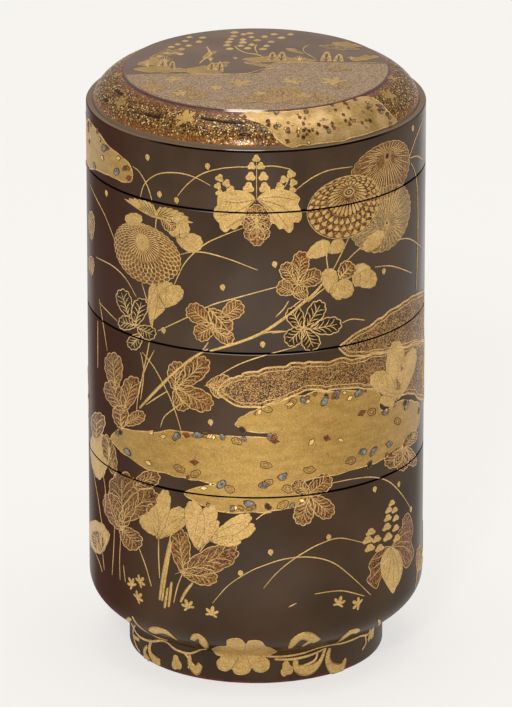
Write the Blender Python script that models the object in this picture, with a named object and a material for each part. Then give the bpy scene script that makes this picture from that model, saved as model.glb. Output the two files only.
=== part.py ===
"""A round tiered box of lacquered wood: a lower tier on its foot, two more tiers and a lid.

Units are metres, +Z is up, and the origin is at the middle of the foot's underside.
Every piece is a turned solid. Each tier has a thin lip inside its wall, which stands up
into a rabbet in the piece above, so the outer walls meet flush at a fine seam.
"""

import math

import bmesh
import bpy
from mathutils import Vector
from mathutils.geometry import interpolate_bezier

# The stack, from the ground up.
LOWER_TIER_HEIGHT = 0.0829
MIDDLE_TIER_HEIGHT = 0.0579
UPPER_TIER_HEIGHT = 0.0561
LID_SKIRT_HEIGHT = 0.0241
SEAM_GAP = 0.0003

# The round wall that all the pieces share.
OUTER_RADIUS = 0.065
WALL = 0.0040
EDGE_SOFTENING = 0.0003

# The lip that stands up inside each seam, and the room left round it.
LIP_THICKNESS = 0.0019
LIP_RISE = 0.0060
LIP_CLEARANCE = 0.0003
SEAT_CLEARANCE = 0.0004

# Tier floors.
FLOOR = 0.0038
FLOOR_CORNER = 0.0030

# The foot of the lower tier, and the haunch that swells from it to the wall.
FOOT_INSET = 0.0155
FOOT_WALL = 0.0036
FOOT_HEIGHT = 0.0105
FOOT_EDGE = 0.0008
COVE_REACH = 0.0040
COVE_RISE = 0.0045
HAUNCH_RISE = 0.0160
BOWL_SKIN = 0.0028
BOWL_FLOOR = 0.0045

# The lid: a narrow ledge, a rounded shoulder, and a raised panel on top.
LEDGE_WIDTH = 0.0024
SHOULDER_WIDTH = 0.0122
SHOULDER_RISE = 0.0106
PANEL_STEP = 0.0012
PANEL_EDGE = 0.0006
PANEL_CROWN = 0.0005
LID_SKIN = 0.0038

# How finely the round forms are faceted.
SEGMENTS = 60
SHARP_ANGLE = math.radians(30)
WELD_DISTANCE = 1e-6

# Surface colours: brown-black lacquer, and the gold-dusted lacquer of the lid.
LACQUER = {"colour": (0.055, 0.042, 0.034, 1.0), "roughness": 0.28, "metallic": 0.0}
GOLD_DUSTED = {"colour": (0.36, 0.25, 0.11, 1.0), "roughness": 0.34, "metallic": 0.6}


def curve_through(start, start_handle, end_handle, end, points):
    """A Bezier stretch of a profile as (radius, height) pairs, both ends included."""
    corners = [Vector((radius, height, 0.0)) for radius, height in (start, start_handle, end_handle, end)]
    return [(point.x, point.y) for point in interpolate_bezier(*corners, points)]


def turned(name, profile, material):
    """Spins a profile that runs from the axis to the axis, and makes one closed solid of it."""
    form = bmesh.new()
    points = [form.verts.new((radius, 0.0, height)) for radius, height in profile]
    edges = [form.edges.new(pair) for pair in zip(points, points[1:])]
    bmesh.ops.spin(
        form, geom=points + edges, cent=(0, 0, 0), axis=(0, 0, 1), angle=math.tau, steps=SEGMENTS, use_merge=True
    )
    bmesh.ops.remove_doubles(form, verts=form.verts, dist=WELD_DISTANCE)
    bmesh.ops.recalc_face_normals(form, faces=form.faces)
    mesh = bpy.data.meshes.new(name)
    form.to_mesh(mesh)
    form.free()
    mesh.shade_smooth()
    mesh.set_sharp_from_angle(angle=SHARP_ANGLE)
    mesh.materials.append(material)
    piece = bpy.data.objects.new(name, mesh)
    bpy.context.scene.collection.objects.link(piece)
    return piece


def finish(name, look):
    """A Principled material in one of the box's colours."""
    material = bpy.data.materials.new(name)
    material.use_nodes = True
    shader = material.node_tree.nodes["Principled BSDF"]
    shader.inputs["Base Color"].default_value = look["colour"]
    shader.inputs["Roughness"].default_value = look["roughness"]
    shader.inputs["Metallic"].default_value = look["metallic"]
    return material


def inner_radius():
    """Inside face of every wall."""
    return OUTER_RADIUS - WALL


def lip_radius():
    """Outside face of every lip."""
    return inner_radius() + LIP_THICKNESS


def rabbet_radius():
    """Inside face of the rabbet that a lip stands in."""
    return lip_radius() + LIP_CLEARANCE


def rabbet_depth():
    """Height of the rabbet above the lower edge of its own piece."""
    return LIP_RISE - SEAM_GAP + SEAT_CLEARANCE


def wall_top_with_lip(top):
    """Profile from the outer wall over its softened edge and up and over the lip, outside to inside."""
    return [
        (OUTER_RADIUS, top - EDGE_SOFTENING),
        (OUTER_RADIUS - EDGE_SOFTENING, top),
        (lip_radius(), top),
        (lip_radius(), top + LIP_RISE - EDGE_SOFTENING),
        (lip_radius() - EDGE_SOFTENING, top + LIP_RISE),
        (inner_radius() + EDGE_SOFTENING, top + LIP_RISE),
        (inner_radius(), top + LIP_RISE - EDGE_SOFTENING),
    ]


def wall_foot_with_rabbet(bottom):
    """Profile from the rabbet's ceiling down and out round the lower edge to the outer wall."""
    return [
        (rabbet_radius(), bottom + rabbet_depth()),
        (rabbet_radius(), bottom),
        (OUTER_RADIUS - EDGE_SOFTENING, bottom),
        (OUTER_RADIUS, bottom + EDGE_SOFTENING),
    ]


def straight_tier(name, bottom, height, material):
    """A tier that stands on another: rabbet below, flat floor, straight wall and a lip on top."""
    ceiling = bottom + rabbet_depth()
    floor = ceiling + FLOOR
    profile = [(0.0, ceiling)]
    profile += wall_foot_with_rabbet(bottom)
    profile += wall_top_with_lip(bottom + height)
    profile += curve_through(
        (inner_radius(), floor + FLOOR_CORNER),
        (inner_radius(), floor + FLOOR_CORNER / 2),
        (inner_radius() - FLOOR_CORNER / 2, floor),
        (inner_radius() - FLOOR_CORNER, floor),
        3,
    )
    profile.append((0.0, floor))
    return turned(name, profile, material)


def footed_tier(name, material):
    """The lower tier: a foot ring, a cove, a swelling haunch, the wall and its lip."""
    foot = OUTER_RADIUS - FOOT_INSET
    cove_top = (foot + COVE_REACH, FOOT_HEIGHT + COVE_RISE)
    haunch_top = cove_top[1] + HAUNCH_RISE
    cavity_floor = cove_top[1] + BOWL_SKIN
    swell = OUTER_RADIUS - cove_top[0]

    profile = [
        (0.0, cavity_floor - BOWL_FLOOR),
        (foot - FOOT_WALL, cavity_floor - BOWL_FLOOR),
        (foot - FOOT_WALL, 0.0),
        (foot - FOOT_EDGE, 0.0),
        (foot, FOOT_EDGE),
    ]
    profile += curve_through(
        (foot, FOOT_HEIGHT),
        (foot, FOOT_HEIGHT + COVE_RISE * 0.5),
        (foot + COVE_REACH * 0.45, FOOT_HEIGHT + COVE_RISE * 0.68),
        cove_top,
        4,
    )
    profile += curve_through(
        cove_top,
        (cove_top[0] + swell * 0.61, cove_top[1] + HAUNCH_RISE * 0.28),
        (OUTER_RADIUS, cove_top[1] + HAUNCH_RISE * 0.56),
        (OUTER_RADIUS, haunch_top),
        8,
    )[1:]
    profile += wall_top_with_lip(LOWER_TIER_HEIGHT)
    bowl_width = inner_radius() - foot
    bowl_rise = haunch_top - cavity_floor
    profile += curve_through(
        (inner_radius(), haunch_top),
        (inner_radius(), haunch_top - bowl_rise * 0.45),
        (foot + bowl_width * 0.62, cavity_floor),
        (foot, cavity_floor),
        5,
    )
    profile.append((0.0, cavity_floor))
    return turned(name, profile, material)


def lid(name, bottom, material):
    """The lid: a skirt with a rabbet, a ledge, a rounded shoulder and a slightly crowned panel."""
    ledge = bottom + LID_SKIRT_HEIGHT
    shoulder_foot = OUTER_RADIUS - LEDGE_WIDTH
    panel = shoulder_foot - SHOULDER_WIDTH
    shoulder_top = ledge + SHOULDER_RISE
    panel_top = shoulder_top + PANEL_STEP
    ceiling = shoulder_top - LID_SKIN

    profile = [(0.0, ceiling)]
    profile += curve_through(
        (panel, ceiling),
        (inner_radius() - (inner_radius() - panel) * 0.35, ceiling),
        (inner_radius(), ceiling - (SHOULDER_RISE - LID_SKIN) * 0.5),
        (inner_radius(), ledge - LEDGE_WIDTH),
        5,
    )
    profile.append((inner_radius(), bottom + rabbet_depth()))
    profile += wall_foot_with_rabbet(bottom)
    profile += [
        (OUTER_RADIUS, ledge - 2 * EDGE_SOFTENING),
        (OUTER_RADIUS - EDGE_SOFTENING, ledge - EDGE_SOFTENING / 2),
        (OUTER_RADIUS - 2 * EDGE_SOFTENING, ledge),
    ]
    profile += curve_through(
        (shoulder_foot, ledge),
        (shoulder_foot - SHOULDER_WIDTH * 0.07, ledge + SHOULDER_RISE * 0.40),
        (panel + SHOULDER_WIDTH * 0.55, shoulder_top - SHOULDER_RISE * 0.15),
        (panel + PANEL_EDGE, shoulder_top),
        7,
    )
    profile += [
        (panel, shoulder_top + PANEL_STEP * 0.25),
        (panel, panel_top - PANEL_STEP * 0.35),
        (panel - PANEL_EDGE, panel_top),
        (0.0, panel_top + PANEL_CROWN),
    ]
    return turned(name, profile, material)


def clear_scene():
    for left_over in list(bpy.data.objects):
        bpy.data.objects.remove(left_over)


def build_box():
    lacquer = finish("brown_black_lacquer", LACQUER)
    gold_dusted = finish("gold_dusted_lacquer", GOLD_DUSTED)
    footed_tier("lower_tier", lacquer)
    bottom = LOWER_TIER_HEIGHT + SEAM_GAP
    for name, height in (("middle_tier", MIDDLE_TIER_HEIGHT), ("upper_tier", UPPER_TIER_HEIGHT)):
        straight_tier(name, bottom, height, lacquer)
        bottom += height + SEAM_GAP
    lid("lid", bottom, gold_dusted)


clear_scene()
build_box()
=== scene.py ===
# %% [markdown]
# This lesson gives a round tiered box its lacquer, its gold and its inlay. The solids of the
# box come first: a lower tier on a foot, two more tiers and a domed lid. They are loaded as a
# fixed frame, and everything made below is placed by them, in metres, with +Z up and the
# front of the box towards -Y.

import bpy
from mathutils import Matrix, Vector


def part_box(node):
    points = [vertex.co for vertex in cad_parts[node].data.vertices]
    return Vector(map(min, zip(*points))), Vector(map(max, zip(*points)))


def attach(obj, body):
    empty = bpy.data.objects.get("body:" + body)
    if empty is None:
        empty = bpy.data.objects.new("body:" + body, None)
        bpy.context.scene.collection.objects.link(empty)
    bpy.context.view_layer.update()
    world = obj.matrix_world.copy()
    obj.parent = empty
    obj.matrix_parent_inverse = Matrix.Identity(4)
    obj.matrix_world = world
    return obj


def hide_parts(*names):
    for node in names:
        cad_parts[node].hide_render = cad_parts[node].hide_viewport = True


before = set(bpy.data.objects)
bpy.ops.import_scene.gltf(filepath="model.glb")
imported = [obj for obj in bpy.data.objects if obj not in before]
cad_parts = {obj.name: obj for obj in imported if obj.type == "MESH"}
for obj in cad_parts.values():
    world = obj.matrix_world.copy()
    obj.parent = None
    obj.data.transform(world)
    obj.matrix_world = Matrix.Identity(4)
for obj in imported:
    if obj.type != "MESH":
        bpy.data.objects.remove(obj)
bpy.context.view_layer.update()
print("pieces in the frame:", ", ".join(sorted(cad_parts)))

# %% [markdown]
# Blender's own modules do the modelling, and numpy works on many points at once. Operators
# act on whatever is selected, so each one below starts from an empty selection.

# %% Modules and small helpers
import math
import random

import bmesh
import bpy
import numpy as np

MM = 0.001
chance = random.Random(7)


def deselect_all():
    """Leaves edit mode and empties the selection."""
    if bpy.context.mode != "OBJECT":
        bpy.ops.object.mode_set(mode="OBJECT")
    bpy.ops.object.select_all(action="DESELECT")


def take(piece):
    """Makes one piece the selected and active one."""
    deselect_all()
    piece.select_set(True)
    bpy.context.view_layer.objects.active = piece
    return piece


def linear(hex_colour):
    """A colour picker's six digits as the linear values that shaders work in."""
    shares = [int(hex_colour[i:i + 2], 16) / 255 for i in (0, 2, 4)]
    return [s / 12.92 if s <= 0.04045 else ((s + 0.055) / 1.055) ** 2.4 for s in shares] + [1.0]


# %% [markdown]
# The sizes that the solids share are read from the frame, so the finish follows the box: the
# seams from the pieces' boxes, and the wall's radius from the lid's box. The forms of
# the foot, the haunch and the lid are named here in millimetres.

# %% Sizes of the box
LIP_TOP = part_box("lower_tier")[1].z
MIDDLE_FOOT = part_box("middle_tier")[0].z
UPPER_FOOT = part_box("upper_tier")[0].z
lid_low, lid_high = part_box("lid")

RADIUS = lid_high.x
SEAM_GAP = 0.3 * MM
EDGE_SOFTENING = 0.25 * MM
WALL = 4.0 * MM
LIP_THICKNESS = 1.9 * MM
LIP_CLEARANCE = 0.3 * MM
SEAT_CLEARANCE = 0.4 * MM
LIP_RISE = LIP_TOP - MIDDLE_FOOT + SEAM_GAP
FLOOR = 3.8 * MM
FLOOR_CORNER = 3.0 * MM
FOOT_RADIUS = RADIUS - 15.5 * MM
FOOT_WALL = 3.6 * MM
FOOT_HEIGHT = 10.5 * MM
FOOT_EDGE = 0.8 * MM
COVE_REACH = 4.0 * MM
COVE_RISE = 4.5 * MM
HAUNCH_RISE = 16.0 * MM
BOWL_SKIN = 2.8 * MM
BOWL_FLOOR = 4.5 * MM
LEDGE_WIDTH = 2.4 * MM
SHOULDER_WIDTH = 12.2 * MM
SHOULDER_RISE = 10.6 * MM
PANEL_STEP = 1.2 * MM
PANEL_EDGE = 0.6 * MM
PANEL_CROWN = 0.5 * MM
LID_SKIN = 3.8 * MM

PANEL_RADIUS = RADIUS - LEDGE_WIDTH - SHOULDER_WIDTH
PANEL_TOP = lid_high.z - PANEL_CROWN
SHOULDER_TOP = PANEL_TOP - PANEL_STEP
LEDGE_HEIGHT = SHOULDER_TOP - SHOULDER_RISE
COVE_TOP = FOOT_HEIGHT + COVE_RISE
HAUNCH_TOP = COVE_TOP + HAUNCH_RISE
WALLS = {
    "lower_tier": (0.0, MIDDLE_FOOT - SEAM_GAP),
    "middle_tier": (MIDDLE_FOOT, UPPER_FOOT - SEAM_GAP),
    "upper_tier": (UPPER_FOOT, lid_low.z - SEAM_GAP),
    "lid": (lid_low.z, LEDGE_HEIGHT),
}
SEAMS = [top for _, top in list(WALLS.values())[:3]]
print(f"radius {RADIUS / MM:.1f} mm, seams at", ", ".join(f"{top / MM:.1f}" for top in SEAMS), "mm")

# %% [markdown]
# The camera stands where the photograph was taken from: in front, a little above the lid,
# and far enough away that the wall's sides stay almost parallel. Its lens follows from how
# many pixels of the picture the wall takes up. The floor is one pale sheet, and the light is
# a bright, even room with two soft panels.

# %% Camera
IMAGE_HEIGHT = 707
DISTANCE_IN_RADII = 45
VIEW_DISTANCE = DISTANCE_IN_RADII * RADIUS
VIEW_ELEVATION = math.radians(20.1)
AIM_HEIGHT = 1.811 * RADIUS
WALL_HALF_WIDTH_SEEN = 168.1
AXIS_SEEN = (256.4, 353.5)
FOCAL_PIXELS = WALL_HALF_WIDTH_SEEN * math.sqrt(DISTANCE_IN_RADII ** 2 - 1)

camera_data = bpy.data.cameras.new("camera")
camera = bpy.data.objects.new("camera", camera_data)
bpy.context.scene.collection.objects.link(camera)
camera_data.sensor_width = 36.0
camera_data.lens = camera_data.sensor_width * FOCAL_PIXELS / IMAGE_HEIGHT
camera_data.clip_end = 50.0
camera.location = (
    0.0,
    -VIEW_DISTANCE * math.cos(VIEW_ELEVATION),
    AIM_HEIGHT + VIEW_DISTANCE * math.sin(VIEW_ELEVATION),
)
camera.rotation_euler = (math.pi / 2 - VIEW_ELEVATION, 0.0, 0.0)
bpy.context.scene.camera = camera
print(f"lens {camera_data.lens:.0f} mm at {VIEW_DISTANCE:.2f} m")

# %% [markdown]
# Shader maths is easier to read as an expression than as a row of nodes. A Wire holds one
# output socket, and adding or multiplying wires adds the Math nodes. A Paint holds one
# material and makes its nodes, with the node's settings first and its sockets after them.

# %% A small language for shaders


class Wire:
    """One output socket of a material's node tree, for use in expressions."""

    def __init__(self, paint, socket):
        self.paint = paint
        self.socket = socket

    def maths(self, operation, *values):
        return self.paint.node("ShaderNodeMath", dict(enumerate(values)), operation=operation)

    def __add__(self, other):
        return self.maths("ADD", self, other)

    def __sub__(self, other):
        return self.maths("SUBTRACT", self, other)

    def __rsub__(self, other):
        return self.maths("SUBTRACT", other, self)

    def __mul__(self, other):
        return self.maths("MULTIPLY", self, other)

    def __pow__(self, other):
        return self.maths("POWER", self, other)

    def __gt__(self, other):
        return self.maths("GREATER_THAN", self, other)

    def __lt__(self, other):
        return self.maths("LESS_THAN", self, other)

    __radd__ = __add__
    __rmul__ = __mul__

    def between(self, low, high):
        """1 where the value lies between low and high, and 0 elsewhere."""
        return (self > low) * (self < high)

    def step(self, low, high):
        """0 below low, 1 above high and a soft climb between them. low may be the larger one."""
        limits = {0: self, 1: low, 2: high, 3: 0.0, 4: 1.0}
        return self.paint.node("ShaderNodeMapRange", limits, interpolation_type="SMOOTHSTEP")


class Paint:
    """A new material, with one Principled shader and a method that adds any other node."""

    def __init__(self, name):
        self.material = bpy.data.materials.new(name)
        self.material.use_nodes = True
        self.tree = self.material.node_tree
        self.shader = self.tree.nodes["Principled BSDF"]
        self.place = self.node("ShaderNodeTexCoord", {}, output="Object")

    def node(self, kind, inputs, output=0, **settings):
        made = self.tree.nodes.new(kind)
        for key, value in settings.items():
            setattr(made, key, value)
        for key, value in inputs.items():
            self.feed(made.inputs[key], value)
        return Wire(self, made.outputs[output])

    def feed(self, socket, value):
        if isinstance(value, Wire):
            self.tree.links.new(value.socket, socket)
        else:
            socket.default_value = value

    def mix(self, share, first, second):
        """first where share is 0, second where it is 1, both colours."""
        return self.node("ShaderNodeMix", {0: share, 6: first, 7: second}, output=2, data_type="RGBA")

    def noise(self, size, detail=2.0, stretch=(1.0, 1.0, 1.0)):
        """Soft noise whose patches are about size metres across, shorter along a stretched axis."""
        place = self.node("ShaderNodeVectorMath", {0: self.place, 1: stretch}, operation="MULTIPLY")
        return self.node("ShaderNodeTexNoise", {"Vector": place, "Scale": 1 / size, "Detail": detail})

    def flecks(self, size):
        """Cells about size metres across, each with its own value."""
        cells = self.node("ShaderNodeTexVoronoi", {"Vector": self.place, "Scale": 1 / size}, output="Color")
        return self.node("ShaderNodeSeparateColor", {0: cells})

    def coordinates(self):
        """The three object coordinates as separate wires."""
        return [self.node("ShaderNodeSeparateXYZ", {0: self.place}, output=axis) for axis in "XYZ"]

    def bump(self, height, depth, strength):
        """Raises the surface by height times depth metres."""
        inputs = {"Height": height, "Distance": depth, "Strength": strength}
        return self.node("ShaderNodeBump", inputs, output="Normal")

    def finish(self, **sockets):
        """Fills the shader's sockets, which are named with _ for a space, and gives the material."""
        for name, value in sockets.items():
            self.feed(self.shader.inputs[name.replace("_", " ")], value)
        return self.material


# %% [markdown]
# The ground of every tier is a dark brown lacquer, rubbed to a soft shine. Thin lacquer over
# brown shows as slow cloudy changes of tone, and polishing leaves hair-fine marks round the
# box. Its left side is painted darker and redder as shade, with less coat, and the foot's lower
# edge has worn to the red layer. The seams are painted black as shade, with a painted
# highlight as a pale edge just below them in front. The rest of the shine comes from a thin
# clear coat on the shader, which keeps the wall dark, and a little more of it lights the two
# sides that the eye grazes.

# %% Lacquer ground
LACQUER_DARK = linear("352413")
LACQUER_LIGHT = linear("46321F")
SHADED_LEFT_RED = linear("3A180D")
FOOT_WORN = linear("7A2A2E")
# Black painted as shade in the seams' gaps, and pale painted as a highlight just under them.
PAINTED_SHADE_BLACK = linear("0C0806")
EDGE_HIGHLIGHT_PALE = linear("A89A88")
POLISH = 0.40
RIM_SHINE = 0.4
# The left side is painted darker and redder as shade, and its coat is dulled there.
LEFT_SHADE_SHARE = 0.75
LEFT_SIDE_DULLING = 0.7
# Heights above the top of a tier's wall.
# The first band is painted black as shade in the seam, and the second pale as a painted highlight.
SEAM_SHADE_LINE = (-0.20 * MM, 0.75 * MM)
HIGHLIGHT_BAND_UNDER_SEAM = (-0.50 * MM, -0.20 * MM)
FOOT_WEAR = (1.6 * MM, 0.2 * MM)


def shaded_left_side(x):
    """1 at the left side of the box, where shade is painted darker and redder."""
    return x.step(-0.5 * RADIUS, -0.9 * RADIUS)


def grazed_rims(x):
    """1 at the box's outermost left and right."""
    return x.step(-0.94 * RADIUS, -RADIUS) + x.step(0.94 * RADIUS, RADIUS)


def lacquer_tone(paint, clouds, x):
    """Cloudy brown-black, painted darker and redder at the left side as shade."""
    tone = paint.mix(clouds.step(0.25, 0.8), LACQUER_DARK, LACQUER_LIGHT)
    return paint.mix(LEFT_SHADE_SHARE * shaded_left_side(x), tone, SHADED_LEFT_RED)


def lacquer():
    """Polished lacquer with black painted shade in the seams and a pale painted highlight under them, worn
    along the foot's lower edge.
    """
    paint = Paint("brown_black_lacquer")
    x, y, z = paint.coordinates()
    clouds = paint.noise(28 * MM, 3.0)
    tone = lacquer_tone(paint, clouds, x)
    foot_wear = z.step(*FOOT_WEAR) * paint.noise(5 * MM, 4.0).step(0.42, 0.56)
    tone = paint.mix(foot_wear, tone, FOOT_WORN)
    seam, edge = 0.0, 0.0
    for top in SEAMS:
        seam = seam + z.between(*(top + off for off in SEAM_SHADE_LINE))
        edge = edge + z.between(*(top + off for off in HIGHLIGHT_BAND_UNDER_SEAM))
    # Painted shade: the seams are painted black, and their coat is taken away.
    tone = paint.mix(seam, tone, PAINTED_SHADE_BLACK)
    # Painted highlight: a pale band just below each seam, in front.
    in_front = x.step(-0.45 * RADIUS, -0.2 * RADIUS) * x.step(0.5 * RADIUS, 0.2 * RADIUS)
    tone = paint.mix(0.5 * edge * in_front, tone, EDGE_HIGHLIGHT_PALE)
    rubbing = paint.noise(2.2 * MM, 3.0, (1.0, 1.0, 9.0))
    marks = paint.bump(rubbing + 0.4 * paint.noise(0.6 * MM), 0.004 * MM, 0.5)
    higher_is_brighter = 0.92 + 0.4 * z.step(90 * MM, 170 * MM)
    polish = POLISH * (0.85 + 0.3 * rubbing) * (1 - LEFT_SIDE_DULLING * shaded_left_side(x)) * higher_is_brighter
    return paint.finish(
        Base_Color=tone, Roughness=0.24 + 0.10 * clouds, Normal=marks, Specular_IOR_Level=0.0,
        Coat_Weight=(polish + RIM_SHINE * grazed_rims(x)) * (1 - seam), Coat_Roughness=0.22,
    )


ground = lacquer()
print(f"{ground.name}: {len(ground.node_tree.nodes)} nodes")

# %% [markdown]
# Each tier was turned on a lathe, and modelling it is the same job. A circle is added at the
# first ring of the profile, and it is extruded, moved and scaled from ring to ring, up the
# outside, over the lip and down into the box. The last ring closes at the axis. The turned
# forms keep the solids' profiles and are only much rounder.

# %% Turned bodies
TURNING_STEPS = 180
SHARP_ANGLE = math.radians(32)


def curve_points(start, start_handle, end_handle, end, count):
    """Points along a Bezier stretch of a profile, ends included."""
    places = []
    for i in range(count):
        t = i / (count - 1)
        shares = ((1 - t) ** 3, 3 * t * (1 - t) ** 2, 3 * t * t * (1 - t), t ** 3)
        corners = (start, start_handle, end_handle, end)
        places.append(tuple(sum(s * c[axis] for s, c in zip(shares, corners)) for axis in (0, 1)))
    return places


def turned(name, profile):
    """Turns a profile that runs from the axis under the piece to the axis on its upper side."""
    deselect_all()
    radius, height = profile[0]
    bpy.ops.mesh.primitive_circle_add(vertices=TURNING_STEPS, radius=radius, location=(0, 0, height))
    piece = bpy.context.object
    piece.name = name
    bpy.ops.object.transform_apply(location=True)
    bpy.ops.object.mode_set(mode="EDIT")
    bpy.ops.mesh.select_all(action="SELECT")
    bpy.ops.mesh.extrude_region_move()
    bpy.ops.mesh.merge(type="CENTER")
    bpy.ops.mesh.select_all(action="DESELECT")
    bpy.ops.mesh.select_non_manifold(extend=False, use_wire=False, use_multi_face=False,
                                     use_non_contiguous=False, use_verts=False)
    for next_radius, next_height in profile[1:]:
        bpy.ops.mesh.extrude_region_move(TRANSFORM_OT_translate={"value": (0, 0, next_height - height)})
        share = next_radius / radius
        bpy.ops.transform.resize(value=(share, share, 1.0), center_override=(0, 0, next_height))
        radius, height = next_radius, next_height
    bpy.ops.mesh.extrude_region_move()
    bpy.ops.mesh.merge(type="CENTER")
    bpy.ops.mesh.select_all(action="SELECT")
    bpy.ops.mesh.normals_make_consistent(inside=False)
    bpy.ops.object.mode_set(mode="OBJECT")
    bpy.ops.object.shade_smooth_by_angle(angle=SHARP_ANGLE)
    print(f"{name}: {len(piece.data.polygons)} faces")
    return piece


def inner_radius():
    return RADIUS - WALL


def lip_radius():
    return inner_radius() + LIP_THICKNESS


def rabbet_radius():
    return lip_radius() + LIP_CLEARANCE


def rabbet_depth():
    return LIP_RISE - SEAM_GAP + SEAT_CLEARANCE


def wall_foot(bottom):
    """From the rabbet's ceiling round the lower edge of the wall."""
    return [
        (rabbet_radius(), bottom + rabbet_depth()),
        (rabbet_radius(), bottom),
        (RADIUS - EDGE_SOFTENING, bottom),
        (RADIUS - EDGE_SOFTENING * 0.3, bottom + EDGE_SOFTENING * 0.3),
        (RADIUS, bottom + EDGE_SOFTENING),
    ]


def wall_top(top):
    """Over the wall's upper edge, and up and over the lip."""
    return [
        (RADIUS, top - EDGE_SOFTENING),
        (RADIUS - EDGE_SOFTENING * 0.3, top - EDGE_SOFTENING * 0.3),
        (RADIUS - EDGE_SOFTENING, top),
        (lip_radius(), top),
        (lip_radius(), top + LIP_RISE - EDGE_SOFTENING),
        (lip_radius() - EDGE_SOFTENING, top + LIP_RISE),
        (inner_radius() + EDGE_SOFTENING, top + LIP_RISE),
        (inner_radius(), top + LIP_RISE - EDGE_SOFTENING),
    ]


def straight_tier_profile(bottom, top):
    ceiling = bottom + rabbet_depth()
    floor = ceiling + FLOOR
    corner = curve_points(
        (inner_radius(), floor + FLOOR_CORNER),
        (inner_radius(), floor + FLOOR_CORNER / 2),
        (inner_radius() - FLOOR_CORNER / 2, floor),
        (inner_radius() - FLOOR_CORNER, floor),
        8,
    )
    return [(FOOT_RADIUS, ceiling)] + wall_foot(bottom) + wall_top(top) + corner


def foot_and_haunch():
    """The outside of the lower tier, from the foot's lower edge up to the straight wall."""
    cove_radius = FOOT_RADIUS + COVE_REACH
    swell = RADIUS - cove_radius
    cove = curve_points(
        (FOOT_RADIUS, FOOT_HEIGHT),
        (FOOT_RADIUS, FOOT_HEIGHT + COVE_RISE * 0.5),
        (FOOT_RADIUS + COVE_REACH * 0.45, FOOT_HEIGHT + COVE_RISE * 0.68),
        (cove_radius, COVE_TOP),
        10,
    )
    haunch = curve_points(
        (cove_radius, COVE_TOP),
        (cove_radius + swell * 0.61, COVE_TOP + HAUNCH_RISE * 0.28),
        (RADIUS, COVE_TOP + HAUNCH_RISE * 0.56),
        (RADIUS, HAUNCH_TOP),
        24,
    )
    return cove + haunch[1:]


def footed_tier_profile(top):
    cavity_floor = COVE_TOP + BOWL_SKIN
    recess = cavity_floor - BOWL_FLOOR
    bowl = curve_points(
        (inner_radius(), HAUNCH_TOP),
        (inner_radius(), HAUNCH_TOP - (HAUNCH_TOP - cavity_floor) * 0.45),
        (FOOT_RADIUS + (inner_radius() - FOOT_RADIUS) * 0.62, cavity_floor),
        (FOOT_RADIUS, cavity_floor),
        14,
    )
    foot = [
        (FOOT_RADIUS - FOOT_WALL, recess),
        (FOOT_RADIUS - FOOT_WALL, 0.0),
        (FOOT_RADIUS - FOOT_EDGE, 0.0),
        (FOOT_RADIUS - FOOT_EDGE * 0.3, FOOT_EDGE * 0.3),
        (FOOT_RADIUS, FOOT_EDGE),
    ]
    return foot + foot_and_haunch() + wall_top(top) + bowl


def shoulder():
    """The rounded slope of the lid, from the ledge up to the panel's edge."""
    foot = PANEL_RADIUS + SHOULDER_WIDTH
    return curve_points(
        (foot, LEDGE_HEIGHT),
        (foot - SHOULDER_WIDTH * 0.07, LEDGE_HEIGHT + SHOULDER_RISE * 0.40),
        (PANEL_RADIUS + SHOULDER_WIDTH * 0.55, SHOULDER_TOP - SHOULDER_RISE * 0.15),
        (PANEL_RADIUS + PANEL_EDGE, SHOULDER_TOP),
        24,
    )


def panel_height(radius):
    """Height of the slightly crowned panel at a distance from the axis."""
    return PANEL_TOP + PANEL_CROWN * (1 - (radius / PANEL_RADIUS) ** 2)


def lid_profile(bottom):
    ceiling = SHOULDER_TOP - LID_SKIN
    dome = curve_points(
        (PANEL_RADIUS, ceiling),
        (inner_radius() - (inner_radius() - PANEL_RADIUS) * 0.35, ceiling),
        (inner_radius(), ceiling - (SHOULDER_RISE - LID_SKIN) * 0.5),
        (inner_radius(), LEDGE_HEIGHT - LEDGE_WIDTH),
        12,
    )
    skirt_top = [
        (RADIUS, LEDGE_HEIGHT - 2 * EDGE_SOFTENING),
        (RADIUS - EDGE_SOFTENING, LEDGE_HEIGHT - EDGE_SOFTENING / 2),
        (RADIUS - 2 * EDGE_SOFTENING, LEDGE_HEIGHT),
    ]
    panel = [
        (PANEL_RADIUS, SHOULDER_TOP + PANEL_STEP * 0.25),
        (PANEL_RADIUS, PANEL_TOP - PANEL_STEP * 0.35),
        (PANEL_RADIUS - PANEL_EDGE * 0.3, PANEL_TOP - PANEL_STEP * 0.1),
    ]
    for share in (1.0, 0.8, 0.6, 0.4, 0.2):
        panel.append((PANEL_RADIUS * share - PANEL_EDGE, panel_height(PANEL_RADIUS * share)))
    rabbet = [(inner_radius(), bottom + rabbet_depth())]
    return dome + rabbet + wall_foot(bottom) + skirt_top + shoulder() + panel


bodies = {
    "lower_tier": turned("lower_tier_lacquer", footed_tier_profile(WALLS["lower_tier"][1])),
    "middle_tier": turned("middle_tier_lacquer", straight_tier_profile(*WALLS["middle_tier"])),
    "upper_tier": turned("upper_tier_lacquer", straight_tier_profile(*WALLS["upper_tier"])),
    "lid": turned("lid_lacquer", lid_profile(WALLS["lid"][0])),
}
for node, body in bodies.items():
    body.data.materials.append(ground)
    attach(body, "root")
    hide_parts(node)

# %% [markdown]
# The gold pictures are built up on the lacquer in thin layers, and each is drawn flat first, as
# a maker draws on paper and then rubs the drawing onto the box. On the flat sheet a point is
# one complex number: its real part runs across, along the wall from the middle of the front,
# and its imaginary part runs up, along the outside of the box from the foot to the lid's
# panel. Turning and scaling a shape is then one multiplication.

# %% The outside of the box as a flat sheet
SKIN_STEP = 0.25 * MM
SIGHT_ROUNDS = 4
NEARLY_SIDEWAYS = 0.998


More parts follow.
